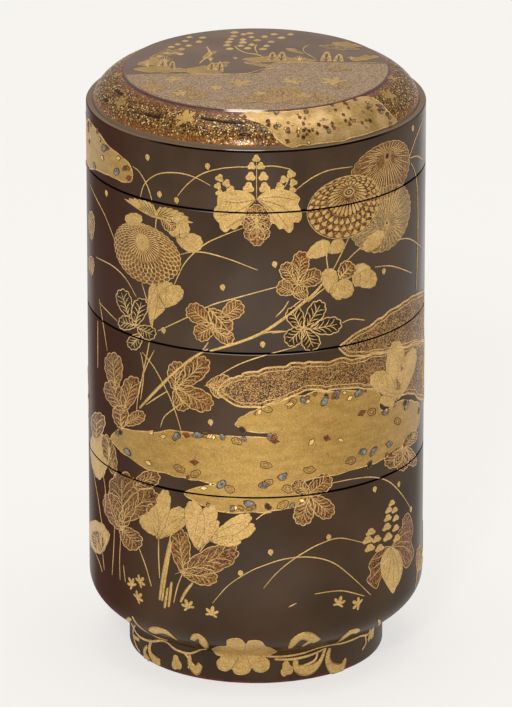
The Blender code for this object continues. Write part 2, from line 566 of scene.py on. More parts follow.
def skin_corners():
    """Radius and height along the closed box's outside, from the floor to the panel's edge."""
    edge_of_panel = [(PANEL_RADIUS, SHOULDER_TOP + PANEL_STEP * 0.25)]
    return [(FOOT_RADIUS, 0.0)] + foot_and_haunch() + [(RADIUS, LEDGE_HEIGHT)] + shoulder() + edge_of_panel


corner_radii, corner_heights = np.array(skin_corners()).T
runs = np.hypot(np.diff(corner_radii), np.diff(corner_heights))
corner_ups = np.concatenate([[0.0], np.cumsum(runs)])
corner_ups += HAUNCH_TOP - np.interp(HAUNCH_TOP, corner_heights, corner_ups)
skin_up = np.arange(corner_ups[0], corner_ups[-1], SKIN_STEP)
skin_radius = np.interp(skin_up, corner_ups, corner_radii)
skin_height = np.interp(skin_up, corner_ups, corner_heights)
skin_inward = np.gradient(skin_radius, skin_up)
skin_rise = np.gradient(skin_height, skin_up)
print(f"the sheet runs from {skin_up[0] / MM:.1f} to {skin_up[-1] / MM:.1f} mm up")


def on_skin(seen):
    """The place on the sheet that a pixel of the photograph shows, found in a few rounds of sight."""
    cos, sin = math.cos(VIEW_ELEVATION), math.sin(VIEW_ELEVATION)
    y = -skin_radius
    for _ in range(SIGHT_ROUNDS):
        depth = VIEW_DISTANCE + y * cos - (skin_height - AIM_HEIGHT) * sin
        x = (seen[0] - AXIS_SEEN[0]) * depth / FOCAL_PIXELS
        x = np.clip(x, -NEARLY_SIDEWAYS * skin_radius, NEARLY_SIDEWAYS * skin_radius)
        y = -np.sqrt(skin_radius ** 2 - x ** 2)
    rows = AXIS_SEEN[1] - FOCAL_PIXELS * (y * sin + (skin_height - AIM_HEIGHT) * cos) / depth
    up = np.interp(-seen[1], -rows, skin_up)
    angle = math.asin(np.interp(up, skin_up, x) / np.interp(up, skin_up, skin_radius))
    return complex(angle * RADIUS, up)


def traced(*seen):
    """Several pixels of the photograph as places on the sheet."""
    return [on_skin(pixel) for pixel in seen]


def lay_on_box(piece):
    """Wraps a flat piece round the box: x goes round, y goes up the outside, z stands out."""
    places = np.empty(len(piece.data.vertices) * 3)
    piece.data.vertices.foreach_get("co", places)
    across, up, out = places.reshape(-1, 3).T
    inward, rise = np.interp(up, skin_up, skin_inward), np.interp(up, skin_up, skin_rise)
    radius = np.interp(up, skin_up, skin_radius) + out * rise
    height = np.interp(up, skin_up, skin_height) - out * inward
    angle = across / RADIUS
    wrapped = np.stack([radius * np.sin(angle), -radius * np.cos(angle), height], axis=1)
    piece.data.vertices.foreach_set("co", wrapped.ravel())
    piece.data.update()


# %% [markdown]
# A drawing holds two kinds of marks. A fill is a closed outline that is sprinkled with gold
# powder all over, and a line is drawn with the point of a brush. Both are kept by their finish,
# with the level of lacquer that they stand on: stalks and banks lie lowest, then leaves, then
# flowers.

# %% A drawing of fills and brush lines
LEVELS = {
    "stalk": -0.10 * MM, "bank": 0.05 * MM, "leaf": 0.10 * MM, "flower": 0.13 * MM, "petal": 0.16 * MM,
    "chip": 0.18 * MM,
}
SUNK = 0.10 * MM
BRUSH_FLATNESS = 0.4
BROAD_FLATNESS = 0.1
POINT_SPACING = 0.9 * MM


class Drawing:
    """Fills and lines on one flat sheet, kept by the name of their finish."""

    def __init__(self):
        self.fills = {}
        self.lines = {}

    def fill(self, finish, outline, level):
        self.fills.setdefault(finish, []).append((outline, LEVELS[level]))

    def line(self, finish, route, width, level, closed=False, fine_ends=0.4):
        """A stroke along a route. An open one swells from fine ends, as a brush does."""
        swell = np.sin(np.linspace(0.0, math.pi * 0.999, len(route))) ** 0.6
        swell = np.ones(len(route)) if closed else fine_ends + (1 - fine_ends) * swell
        self.lines.setdefault(finish, []).append((route, [width * s for s in swell], LEVELS[level], closed))


def smooth(points, closed=False, spacing=POINT_SPACING):
    """A soft curve through a few points, with more points along it."""
    count = len(points)
    route = []
    for i in range(count if closed else count - 1):
        if closed:
            before, start, end, after = (points[(i + k) % count] for k in (-1, 0, 1, 2))
        else:
            before, start, end, after = (points[min(max(i + k, 0), count - 1)] for k in (-1, 0, 1, 2))
        steps = max(2, math.ceil(abs(end - start) / spacing))
        for k in range(steps):
            t = k / steps
            curve = 2 * start + (end - before) * t
            curve += (2 * before - 5 * start + 4 * end - after) * t * t
            curve += (3 * start - before - 3 * end + after) * t ** 3
            route.append(curve / 2)
    return route if closed else route + [points[-1]]


# %% [markdown]
# To turn a drawing into metal-thin slabs, every outline starts as a filled circle with as many
# points as the outline has. The points move to the outline, all outlines are extruded at once,
# and the extruded copy is flattened to just below the lacquer's surface. A brush line is a
# curve with a round section whose radius follows the brush. It is made a mesh, pressed
# flatter, and so it looks like a raised line that has sunk half into the lacquer.

# %% From drawing to mesh
BRUSH_SIDES = 1


def anticlockwise(outline):
    area = sum((a.conjugate() * b).imag for a, b in zip(outline, outline[1:] + outline[:1]))
    return outline if area > 0 else outline[::-1]


def cut_fills(name, fills):
    """One mesh of closed slabs, one slab for each outline."""
    deselect_all()
    for number, (outline, level) in enumerate(fills):
        outline = anticlockwise(outline)
        bpy.ops.mesh.primitive_circle_add(vertices=len(outline), fill_type="NGON")
        if number == 0:
            piece = bpy.context.object
            piece.name = name
            bpy.ops.object.mode_set(mode="EDIT")
        form = bmesh.from_edit_mesh(piece.data)
        form.verts.ensure_lookup_table()
        for vert, place in zip(form.verts[-len(outline):], outline):
            vert.co = (place.real, place.imag, level)
    bpy.ops.mesh.select_all(action="SELECT")
    bpy.ops.mesh.quads_convert_to_tris(ngon_method="BEAUTY")
    bpy.ops.mesh.extrude_region_move()
    bpy.ops.transform.resize(value=(1.0, 1.0, 0.0), center_override=(0.0, 0.0, -SUNK))
    bpy.ops.mesh.select_all(action="SELECT")
    bpy.ops.mesh.normals_make_consistent(inside=False)
    bpy.ops.object.mode_set(mode="OBJECT")
    return piece


def brush_lines(name, lines, flatness=BRUSH_FLATNESS):
    """One mesh of flattened round lines."""
    deselect_all()
    bpy.ops.curve.primitive_nurbs_path_add()
    piece = bpy.context.object
    piece.name = name
    curve = piece.data
    curve.splines.clear()
    curve.twist_mode = "Z_UP"
    curve.bevel_depth = 0.5
    curve.bevel_resolution = BRUSH_SIDES
    curve.use_fill_caps = True
    for route, widths, level, closed in lines:
        spline = curve.splines.new("POLY")
        spline.points.add(len(route) - 1)
        spline.use_cyclic_u = closed
        for point, place, width in zip(spline.points, route, widths):
            point.co = (place.real, place.imag, level / flatness, 1.0)
            point.radius = width
    bpy.ops.object.convert(target="MESH")
    bpy.ops.object.mode_set(mode="EDIT")
    bpy.ops.mesh.select_all(action="SELECT")
    bpy.ops.transform.resize(value=(1.0, 1.0, flatness), center_override=(0.0, 0.0, 0.0))
    bpy.ops.mesh.normals_make_consistent(inside=False)
    bpy.ops.object.mode_set(mode="OBJECT")
    bpy.ops.object.shade_smooth()
    return piece


# %% [markdown]
# The box opens at its seams, so the picture is cut there, and each tier keeps its own part. A
# bisect with a fill cuts the slabs and closes the cut. Wide slabs are also scored every few
# millimetres before they are wrapped, because a face can only bend at an edge.

# %% Cutting, scoring and laying
SEAM_MARGIN = 0.2 * MM
SCORE_SPACING = 3.0 * MM
TIERS = {
    "lower_tier": (None, WALLS["lower_tier"][1]),
    "middle_tier": WALLS["middle_tier"],
    "upper_tier": WALLS["upper_tier"],
    "lid": (WALLS["lid"][0], None),
}


def bisect(place, direction, **choices):
    bpy.ops.mesh.select_all(action="SELECT")
    bpy.ops.mesh.bisect(plane_co=place, plane_no=direction, **choices)


def score(piece):
    """Lines of edges up the piece, and round it where the box curves in."""
    places = np.array([v.co[:2] for v in piece.data.vertices])
    (left, bottom), (right, top) = places.min(0), places.max(0)
    take(piece)
    bpy.ops.object.mode_set(mode="EDIT")
    for x in np.arange(math.ceil(left / SCORE_SPACING) * SCORE_SPACING, right, SCORE_SPACING):
        bisect((x, 0, 0), (1, 0, 0))
    for y in np.arange(skin_up[0], skin_up[-1], SCORE_SPACING / 2):
        if bottom < y < top and not HAUNCH_TOP < y < LEDGE_HEIGHT:
            bisect((0, y, 0), (0, 1, 0))
    bpy.ops.object.mode_set(mode="OBJECT")


def share_out(flat, what, finish):
    """Gives each tier its own part of a flat layer, wrapped round the box."""
    for node, (low, high) in TIERS.items():
        part = flat.copy()
        part.data = flat.data.copy()
        bpy.context.scene.collection.objects.link(part)
        take(part)
        bpy.ops.object.mode_set(mode="EDIT")
        if low is not None:
            bisect((0, low + SEAM_MARGIN, 0), (0, 1, 0), use_fill=True, clear_inner=True)
        if high is not None:
            bisect((0, high - SEAM_MARGIN, 0), (0, 1, 0), use_fill=True, clear_outer=True)
        bpy.ops.mesh.select_all(action="SELECT")
        bpy.ops.mesh.normals_make_consistent(inside=False)
        bpy.ops.object.mode_set(mode="OBJECT")
        if not part.data.vertices:
            bpy.data.objects.remove(part)
            continue
        part.name = f"{node}_{finish}_{what}"
        lay_on_box(part)
        finished(part, finish)
    bpy.data.objects.remove(flat)


# %% [markdown]
# The plants share a few forms. A lobed outline is the reach of the farthest lobe in each
# direction, so a list of lobes makes a maple leaf or a bud. A chrysanthemum leaf is built of
# single lobes instead, each from its root to its tip, with a scalloped rim, a midrib and
# pairs of side veins, because on the box the lobes overlap and keep their own outlines.

# %% Leaves
# Each lobe is its direction in degrees, its reach, its half width in degrees and its roundness.
MAPLE_LEAF = (
    (0, 1.1, 44, 2.0), (54, 1.0, 40, 2.0), (-54, 1.0, 40, 2.0), (108, 0.8, 40, 2.0), (-108, 0.8, 40, 2.0),
)
BUD = ((90, 1.0, 62, 0.4), (210, 1.0, 62, 0.4), (330, 1.0, 62, 0.4))
LOBE_POINTS = 44
LOBE_FULLNESS = 1.25
STALK_SHARE = 0.16
ROUND_LEAF_WAVES = 9
DEW_SIZE = 0.9 * MM


def turning(size, turn):
    """The complex number that scales a shape and turns it."""
    return size * complex(math.cos(turn), math.sin(turn))


def lobed(lobes, core, count):
    """An outline round 0 with its first lobe towards +1. core is its reach between the lobes."""
    outline = []
    for k in range(count):
        degrees = 360 * k / count
        reach = core
        for direction, length, spread, roundness in lobes:
            off = abs((degrees - direction + 180) % 360 - 180) / spread
            if off < 1:
                reach = max(reach, length * (1 - off * off) ** roundness)
        outline.append(turning(reach, math.radians(degrees)))
    return outline


def lobe(drawing, root, tip, side, fill, level="leaf", rim=0.42 * MM, vein=0.36 * MM, pairs=4, ink="line",
         scallop=0.10):
    """One lobe of a leaf. side reaches from its middle to its rim, and vein 0 leaves the veins out."""
    axis = tip - root
    outline = []
    for k in range(LOBE_POINTS):
        angle = math.tau * k / LOBE_POINTS
        swell = 1 - scallop * (1 - abs(math.sin(angle * 5.5)))
        along = 0.54 + 0.46 * math.cos(angle) * swell
        outline.append(root + axis * along + side * math.sin(angle) * swell * (0.55 + 0.55 * along))
    drawing.fill(fill, outline, level)
    drawing.line(ink, outline, rim, level, closed=True)
    if not vein:
        return
    drawing.line(ink, [root, root + axis * 0.3, root + axis * 0.6, root + axis * 0.86], vein * 1.2, level)
    for k in range(pairs):
        start = root + axis * (0.16 + 0.62 * k / pairs)
        for sign in (-1, 1):
            end = start + axis * 0.20 + sign * side * (0.62 if k else 0.4)
            bend = (start + end) / 2 + axis * 0.02 - sign * side * 0.05
            drawing.line(ink, [start, bend, end], vein, level)


def leaf(drawing, seen_lobes, fill, moved=0, **style):
    """A leaf from its lobes. Each is its root, its tip and its half width in pixels of the photograph."""
    for root, tip, half_width in seen_lobes:
        across, down = tip[0] - root[0], tip[1] - root[1]
        share = LOBE_FULLNESS * half_width / math.hypot(across, down)
        middle = ((root[0] + tip[0]) / 2, (root[1] + tip[1]) / 2)
        rim = (middle[0] + down * share, middle[1] - across * share)
        start, end, centre, edge = (z + moved for z in traced(root, tip, middle, rim))
        start -= (end - start) * STALK_SHARE
        lobe(drawing, start, end, centre - edge, fill, **style)


def round_leaf(drawing, centre, across, up):
    """A round gold leaf with a softly lobed edge, seen whole."""
    outline = []
    for k in range(48):
        angle = math.tau * k / 48
        swell = 1 - 0.10 * (1 - abs(math.sin(angle * ROUND_LEAF_WAVES / 2)))
        place = turning(1.0, 0.3) * complex(across * math.cos(angle), up * math.sin(angle))
        outline.append(centre + place * swell)
    drawing.fill("gold", outline, "flower")
    drawing.line("line", outline[::2], 0.2 * MM, "flower", closed=True)


def maple(drawing, centre, size, turn, finish="gold", level="leaf"):
    """A maple leaf of five pointed lobes."""
    drawing.fill(finish, [centre + turning(size, turn) * z for z in lobed(MAPLE_LEAF, 0.22, 60)], level)


def dew(drawing, centre):
    """A dew drop: a small gold drop with a raised rim."""
    angles = np.linspace(0, math.tau, 15)[:-1]
    outline = [centre + DEW_SIZE * complex(math.cos(a), 1.15 * math.sin(a)) for a in angles]
    outline[11] -= 0.5j * DEW_SIZE
    drawing.fill("gold", outline, "leaf")
    drawing.line("line", outline, 0.3 * MM, "leaf", closed=True)


# %% [markdown]
# A chrysanthemum is rings of petals round an eye that sits off its middle, because the flower
# is seen from the side. One function gives the place of a point by its ring and its direction,
# and three kinds of petal are drawn with it: nets of loops, full drops and fine rays.

# %% Chrysanthemums
# Where the rings of petals end, between the eye at 0 and the rim at 1.
NETTED_RINGS = (0, 0.42, 0.57, 0.70, 0.81, 0.91, 1.0)
NETTED_PETALS = 34
DROP_RINGS = (0, 0.48, 0.66, 0.82, 0.98)
DROP_PETALS = 26
# The rings drawn in a drop flower's eye: size, finish and width in millimetres.
DROP_EYE = ((1.0, "line", 0.4), (0.66, "dark", 0.3), (0.4, "line", 0.3), (0.12, "dark", 0.4))
RAY_WAVES = 28


class Flower:
    """Places on a flower: t runs from the eye at 0 to the rim at 1, and a is a direction."""

    def __init__(self, middle, across, up, eye, eye_size):
        self.middle, self.across, self.up = middle, across, up
        self.eye, self.eye_size = eye, eye_size

    def spot(self, t, a):
        """One place on the flower."""
        centre = self.eye + (self.middle - self.eye) * t
        across = self.eye_size + (self.across - self.eye_size) * t
        up = self.eye_size + (self.up - self.eye_size) * t
        return centre + complex(across * math.cos(a), up * math.sin(a))

    def disc(self, t=1.0, count=72, waves=0, depth=0.0):
        """A closed ring round the eye, with a scalloped edge where waves are given."""
        turns = [math.tau * k / count for k in range(count)]
        return [self.spot(t - depth * (1 - abs(math.sin(a * waves / 2))), a) for a in turns]

    def petals(self, rings, petals):
        """Inner end, outer end, direction and half width of every petal. Rings lie between each other."""
        for ring, (low, high) in enumerate(zip(rings, rings[1:])):
            for k in range(petals):
                yield low, high, math.tau * (k + ring % 2 / 2) / petals, math.pi / petals


def netted_flower(drawing, flower):
    """Loops of gold line over brown, like overlapping scales."""
    drawing.fill("brown", flower.disc(waves=NETTED_PETALS, depth=0.03), "flower")
    for low, high, a, half in flower.petals(NETTED_RINGS, NETTED_PETALS):
        shoulder = high - 0.3 * (high - low)
        spots = ((low, -0.9), (shoulder, -0.85), (high, 0.0), (shoulder, 0.85), (low, 0.9))
        loop = [flower.spot(t, a + half * aside) for t, aside in spots]
        drawing.line("line", loop, 0.36 * MM, "flower", fine_ends=0.8)
    drawing.fill("gold", flower.disc(0.0, 32), "petal")
    drawing.line("line", flower.disc(0.0, 32), 0.3 * MM, "petal", closed=True)


def drop_flower(drawing, flower):
    """Full gold drops that grow fatter towards the rim, on brown."""
    drawing.fill("leaf_brown", flower.disc(1.02, waves=DROP_PETALS, depth=0.03), "flower")
    for low, high, a, half in flower.petals(DROP_RINGS, DROP_PETALS):
        step = high - low
        wide = half * 0.76
        # Half a drop: how far before the outer end, and how wide there.
        sides = ((0.55 * step, 0.55), (0.28 * step, 1.0), (0.10 * step, 0.6))
        drop = [flower.spot(low + 0.12 * step, a)]
        drop += [flower.spot(high - back, a - wide * share) for back, share in sides]
        drop += [flower.spot(high - 0.05 * step, a)]
        drop += [flower.spot(high - back, a + wide * share) for back, share in sides[::-1]]
        drawing.fill("gold", smooth(drop, closed=True, spacing=0.7 * MM), "petal")
    drawing.line("line", flower.disc(1.0, 72), 0.3 * MM, "flower", closed=True)
    drawing.fill("dull", flower.disc(0.0, 32), "petal")
    for size, ink, width in DROP_EYE:
        ring = [flower.eye + size * complex((z - flower.eye).real, 0.7 * (z - flower.eye).imag)
                for z in flower.disc(0.0, 32)]
        drawing.line(ink, ring, width * MM, "petal", closed=True)


def ray_flower(drawing, flower, finish, rays=46):
    """Fine rays from the eye to a scalloped rim."""
    rim = flower.disc(waves=RAY_WAVES, depth=0.05, count=112)
    drawing.fill(finish, rim, "leaf")
    drawing.fill("dark", flower.disc(-0.02, 24), "leaf")
    for k in range(rays):
        a = math.tau * k / rays
        start = 0.25 * (k % 2)
        end = 0.95 - 0.06 * (k % 3)
        bow = 0.02 * math.sin(5 * a)
        ray = [flower.spot(start, a), flower.spot((start + end) / 2, a + bow), flower.spot(end, a)]
        drawing.line("line", ray, 0.42 * MM, "leaf", fine_ends=0.5)
    drawing.line("line", rim, 0.25 * MM, "leaf", closed=True)


# %% [markdown]
# The paulownia carries three upright sprays of buds over three broad leaves. The buds are
# small trefoils, largest at the bottom of a spray.

# %% Paulownia


def bud(drawing, centre, size, turn=0.0, wide=1.0):
    """A trefoil bud. wide stretches it across, for a bud that the photograph shows from its side."""
    spin = turning(size, turn)
    outline = [spin * z for z in lobed(BUD, 0.7, 30)]
    drawing.fill("gold", [centre + complex(wide * z.real, z.imag) for z in outline], "petal")
    for end in (-0.75, 0.75j, 0.75):
        drawing.line("dull", [centre + 0.1 * spin * end, centre + spin * end], 0.18 * MM, "petal")


def broad_leaf(drawing, outline, fill, heart, ribs, level="flower"):
    """A broad leaf whose ribs run from its heart to places near its rim."""
    outline = smooth(outline, closed=True)
    drawing.fill(fill, outline, level)
    drawing.line("line", outline, 0.32 * MM, level, closed=True)
    ink = "dull" if fill == "gold" else "line"
    for end in ribs:
        middle = (heart + end) / 2 + 0.08 * (end - heart) * 1j
        drawing.line(ink, smooth([heart, middle, end]), 0.28 * MM, level)


# %% [markdown]
# The finishes. Gold powder is sprinkled on wet lacquer, so it is metal in tiny grains and
# never a flat sheet: its tone drifts, it is a little rough, and where it has rubbed thin the
# red-brown lacquer below comes through. The same grains, sprinkled sparsely, make the brown
# petals and the speckled banks.

# %% Gold, brown and speckled finishes
POWDER = 0.34 * MM
GRAIN_GLINT = linear("FFE9B4")


def gold_powder(name, bright, dull, worn, wear, streaks=1.0, roughness=0.40, grain_share=1.0):
    """Dense gold powder that has rubbed thin in places. A lower wear lets more of the ground through."""
    paint = Paint(name)
    grain = paint.flecks(POWDER)
    drift = paint.noise(7 * MM, 3.0, (1.0, 1.0, streaks))
    tone = paint.mix(drift.step(0.30, 0.72), linear(dull), linear(bright))
    tone = paint.mix(0.22 * grain_share * (grain > 0.62), tone, GRAIN_GLINT)
    tone = paint.mix(0.30 * grain_share * (grain < 0.22), tone, linear(worn))
    rubbed = paint.noise(2.6 * MM, 4.0).step(wear, wear + 0.10)
    tone = paint.mix(0.75 * rubbed, tone, linear(worn))
    surface = paint.bump(grain + 0.6 * paint.noise(0.9 * MM), 0.02 * MM, 0.5)
    return paint.finish(
        Base_Color=tone, Metallic=0.72 - 0.4 * rubbed, Roughness=roughness + 0.12 * drift, Normal=surface,
        Coat_Weight=0.15, Coat_Roughness=0.2,
    )


def sparse_powder(name, under, deep, grains, share, size=POWDER):
    """Single gold grains over a lacquer colour that drifts from under to deep."""
    paint = Paint(name)
    grain = paint.flecks(size)
    sprinkled = grain < share + 0.22 * (paint.noise(6 * MM, 2.0) - 0.5)
    tone = paint.mix(paint.noise(9 * MM, 2.0).step(0.35, 0.7), linear(deep), linear(under))
    tone = paint.mix(sprinkled, tone, linear(grains))
    return paint.finish(
        Base_Color=tone, Metallic=0.6 * sprinkled, Roughness=0.32 + 0.1 * grain,
        Normal=paint.bump(sprinkled, 0.03 * MM, 0.4),
        Coat_Weight=POLISH, Coat_Roughness=0.2, Specular_IOR_Level=0.0,
    )


def inlay(name, dark, light, metal=0.0, polish=POLISH):
    """Thin cut chips of shell, foil or coloured lacquer."""
    paint = Paint(name)
    tone = paint.mix(paint.noise(1.4 * MM, 3.0).step(0.35, 0.65), linear(dark), linear(light))
    return paint.finish(
        Base_Color=tone, Metallic=metal, Roughness=0.25, Specular_IOR_Level=0.0, Coat_Weight=polish,
        Coat_Roughness=0.1,
    )


FINISHES = {
    "gold": gold_powder("gold_leaf_powder", "CBA45C", "B58E48", "8A5A2C", 0.72),
    "line": gold_powder("gold_line_powder", "DDB670", "BE9450", "7A4A28", 0.74),
    "bank": gold_powder("gold_bank_powder", "B08A40", "9C7732", "785426", 0.66, 3.0, 0.38, 0.4),
    "dull": gold_powder("dull_gold_powder", "8C6B36", "765729", "644022", 0.62),
    "lid_bank": gold_powder("lid_bank_powder", "C29C66", "987632", "5E3E20", 0.61, 1.0, 0.34, 0.5),
    "brown": sparse_powder("brown_gold_powder", "684520", "4C2D16", "90662D", 0.45),
    "leaf_brown": sparse_powder("leaf_brown_powder", "5C3319", "3A1F12", "9A6C32", 0.38),
    "speckled": sparse_powder("speckled_brown", "5A341C", "3A2114", "B0874A", 0.38, 0.28 * MM),
    "mist": sparse_powder("thin_gold_mist", "8C6C48", "6E4E36", "BC9556", 0.5),
    "shell": inlay("blue_shell", "47494A", "8A8B86", 0.1, 0.6),
    "foil": inlay("bright_foil", "D0A048", "F0D08A", 0.8, 0.6),
    "rust": inlay("red_brown_chip", "54260F", "7A421E"),
    "dark": inlay("dark_lacquer_chip", "24160C", "33210F"),
}


def finished(piece, finish):
    """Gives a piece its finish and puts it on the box's body."""
    piece.data.materials.append(FINISHES[finish])
    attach(piece, "root")
    print(f"{piece.name}: {len(piece.data.polygons)} faces")


print(len(FINISHES), "finishes for the picture")

# %% [markdown]
# Banks of cloud or land are broad gold shapes with soft bays. Small cut chips are set along
# their edges: grey-blue shell with a dark rim, bright squares of foil and red-brown lacquer.

# %% Banks and inlaid chips
CHIP_KINDS = ("foil", "shell", "rust", "dark", "etched", "etched")
SCRATCH_ANGLES = (0.35, -0.5, 0.2, 0.9)
PLAIN_RIM = ((0.1, 0.55),)
DOUBLED_RIM = ((0.0, 0.85), (1.6, 0.4))


def grown(outline, centre, share):
    """The outline made larger or smaller round its centre."""
    return [centre + share * (z - centre) for z in outline]


def wavy(points, wobble):
    """A closed soft outline that swells and wanders a little, as a freehand edge does."""
    outline = smooth(points, closed=True, spacing=4 * MM)
    outline = [z + wobble * complex(chance.uniform(-1, 1), chance.uniform(-1, 1)) for z in outline]
    return smooth(outline, closed=True, spacing=1.2 * MM)


def chip(drawing, kind, place, size, turn, stretch=1.3):
    """A cut chip with uneven corners. An etched one is only two rings drawn in the gold."""
    corners = 4 if kind in ("foil", "rust") else 10
    outline = []
    for k in range(corners):
        angle = math.tau * k / corners
        corner = chance.uniform(0.8, 1.15) * complex(stretch * math.cos(angle), math.sin(angle))
        outline.append(place + turning(size, turn) * corner)
    if kind == "etched":
        drawing.line("rust", outline, 0.28 * MM, "petal", closed=True)
        drawing.line("dull", grown(outline, place, 0.5), 0.28 * MM, "petal", closed=True)
        return
    drawing.line("brown", grown(outline, place, 1.15), 0.4 * MM, "petal", closed=True)
    if kind == "shell":
        drawing.fill("dark", grown(outline, place, 1.35), "petal")
    drawing.fill(kind, outline, "chip")


def bank(drawing, outline, finish="bank", chips=0, rims=PLAIN_RIM, wobble=0.35 * MM):
    """A bank of gold or speckle. Each rim is a line inside its edge: how far in and how wide, in mm."""
    outline = wavy(outline, wobble)
    drawing.fill(finish, outline, "bank")
    middle = sum(outline) / len(outline)
    for inset, width in rims:
        ahead = outline[1:] + outline[:1]
        behind = outline[-1:] + outline[:-1]
        turn = 1j if outline is anticlockwise(outline) else -1j
        rim = [z + inset * MM * turn * (b - a) / abs(b - a) for z, a, b in zip(outline, behind, ahead)]
        drawing.line("line", rim, width * MM, "bank", closed=True)
    for _ in range(chips):
        edge = chance.choice(outline)
        place = edge + (middle - edge) / abs(middle - edge) * chance.uniform(0.9, 2.6) * MM
        chip(drawing, chance.choice(CHIP_KINDS), place, chance.uniform(0.6, 1.1) * MM, chance.uniform(0, 3))
    return outline


def speckled_bank(drawing, outline):
    """A bank of sparse gold grains with a doubled rim and a freer edge."""
    return bank(drawing, outline, "speckled", rims=DOUBLED_RIM, wobble=0.5 * MM)


def scratches(drawing, outline, count):
    """Short gold strokes laid crosswise over a speckled bank."""
    middle = sum(outline) / len(outline)
    for _ in range(count):
        place = middle + (chance.choice(outline) - middle) * chance.uniform(0.1, 0.8)
        angle = chance.choice(SCRATCH_ANGLES) + chance.uniform(-0.2, 0.2)
        half = turning(chance.uniform(0.8, 2.4) * MM, angle)
        drawing.line("line", [place - half, place + 0.1j * half, place + half], 0.16 * MM, "bank")


# %% [markdown]
# The picture itself runs over all the tiers as if there were no seams. Its plants and banks
# are placed by where the photograph shows them, and the sheet gives their places on the box.
# Grass and stalks come first: each is a few points, joined by one soft stroke.

# %% Grass, stalks and dew
picture = Drawing()
GRASS = (
    ((133, 166), (140, 172), (148, 186), (152.5, 200)),
    ((141, 197), (145, 184), (156, 175), (168, 172.5), (183, 173.5), (197, 178), (211, 185.5)),
    ((178, 196), (188, 184), (202, 174), (218, 169), (236, 167), (250, 167)),
    ((262, 166.5), (275, 166), (291, 169)),
    ((296, 190), (312, 178), (330, 170), (353, 166.5)),
    ((423, 118), (416, 138), (409, 158)),
    ((410, 158), (417, 156), (423, 160)),
    ((411, 163), (415, 172), (417.5, 190), (418, 230), (416.5, 290)),
    ((91, 184), (104, 212), (115, 239)),
    ((97, 257), (112, 265), (126, 278), (137, 297)),
    ((179, 255), (192, 252), (208, 253), (232, 260), (258, 270)),
    ((175, 284), (186, 262), (204, 245), (222, 236), (243, 228)),
    ((375, 267), (392, 266), (412, 273)),
    ((396, 240), (410, 239), (423, 250)),
    ((342, 323), (352, 319), (365, 320)),
    ((143, 352), (155, 368), (168, 392), (176, 412), (182, 432)),
    ((155, 350), (147, 366), (140, 388), (137, 411)),
    ((161, 427), (164, 418), (170, 412), (185, 401)),
    ((220, 375), (240, 364), (266, 355), (295, 347)),
    ((213, 603), (228, 586), (244, 575), (260, 567), (285, 559), (310, 557), (332, 562), (350, 575),
     (371, 595)),
    ((264, 588), (276, 574), (290, 562), (305, 552), (320, 544), (340, 538), (365, 543)),
    ((332, 483), (352, 479), (372, 477), (388, 481), (400, 492), (410, 507)),
    ((315, 594), (330, 591.5), (345, 591), (365, 596)),
    ((289, 607), (297, 603)),
    ((100, 299), (104, 325), (108, 351)),
    ((100, 302), (108, 311), (118, 321)),
    ((98.5, 320), (98.5, 345), (98.5, 368)),
    ((96, 552), (100, 562), (103, 572)),
    ((103, 548), (104, 560), (105, 570)),
    ((124, 565), (126, 582)),
    ((94, 470), (99, 500), (105, 540)),
    ((103, 470), (106, 490), (106, 512)),
    ((421, 562), (423, 545), (423.5, 520)),
    ((415, 588), (417, 574), (419, 560)),
)
STALKS = (
    ((157, 217), (156, 224), (156, 230)),
    ((330, 243), (327, 256), (329, 272)),
    ((350, 236), (344, 249), (333, 271)),
    ((377, 235), (356, 252), (336, 273)),
    ((277, 287), (262, 291), (240, 297), (212, 305), (186, 318), (158, 331)),
    ((330, 285), (320, 292), (308, 302)),
    ((302, 300), (292, 308), (283, 320)),
    ((285, 331), (270, 332), (252, 337)),
    ((142, 283), (147, 300), (151, 325)),
    ((152, 326), (150, 340), (147, 356), (141, 384)),
    ((141, 352), (144, 372), (141, 400)),
    ((168, 391), (158, 397), (146, 405)),
    ((209, 342), (203, 350)),
    ((159, 536), (159, 556), (160, 578)),
    ((115, 526), (114, 550), (112.5, 575)),
    ((121, 538), (120, 560), (120.5, 580)),
    ((139, 547), (146, 566), (152, 587)),
    ((184, 571), (178, 586), (174, 603)),
    ((214, 538), (206, 544), (200, 552)),
    ((256, 520), (264, 514), (272, 512)),
    ((289, 301), (284, 309), (276, 317)),
    ((304, 330), (290, 331), (272, 333)),
)
THICK_STALKS = (
    ((330, 274), (316, 292), (302, 304), (282, 320), (262, 333), (240, 342), (210, 351)),
    ((208, 349), (190, 360), (172, 375), (156, 391), (140, 408)),
    ((172, 535), (168, 552), (163, 578), (160, 600)),
    ((174, 535), (170, 552), (165.5, 578), (162.5, 601)),
    ((168, 588), (166.5, 598), (165, 608)),
    ((172, 582), (170.5, 595), (169, 607)),
    ((193, 583), (186, 592), (181, 602)),
    ((152, 328), (153, 316), (155, 304)),
)
DEW = (
    (148, 157), (208, 166), (160, 194), (413, 128), (107, 193), (275, 264), (223, 287), (164, 330),
    (263, 344), (384, 271), (211, 422), (271, 552), (241, 573), (329, 537), (375, 489), (399, 484),
    (177, 200), (411, 509),
)

LIT_EDGE = (0.35 + 0.35j) * MM

for route in GRASS:
    picture.line("line", smooth(traced(*route)), 0.55 * MM, "leaf", fine_ends=0.45)
for route in STALKS:
    picture.line("line", smooth(traced(*route)), 0.75 * MM, "stalk", fine_ends=0.7)
for route in THICK_STALKS:
    picture.line("gold", smooth(traced(*route)), 1.35 * MM, "bank", fine_ends=0.6)
    picture.line("line", smooth([z + LIT_EDGE for z in traced(*route)]), 0.4 * MM, "bank")
for spot in DEW:
    dew(picture, on_skin(spot))
print(f"{len(GRASS)} blades of grass, {len(STALKS) + len(THICK_STALKS)} stalks, {len(DEW)} dew drops")

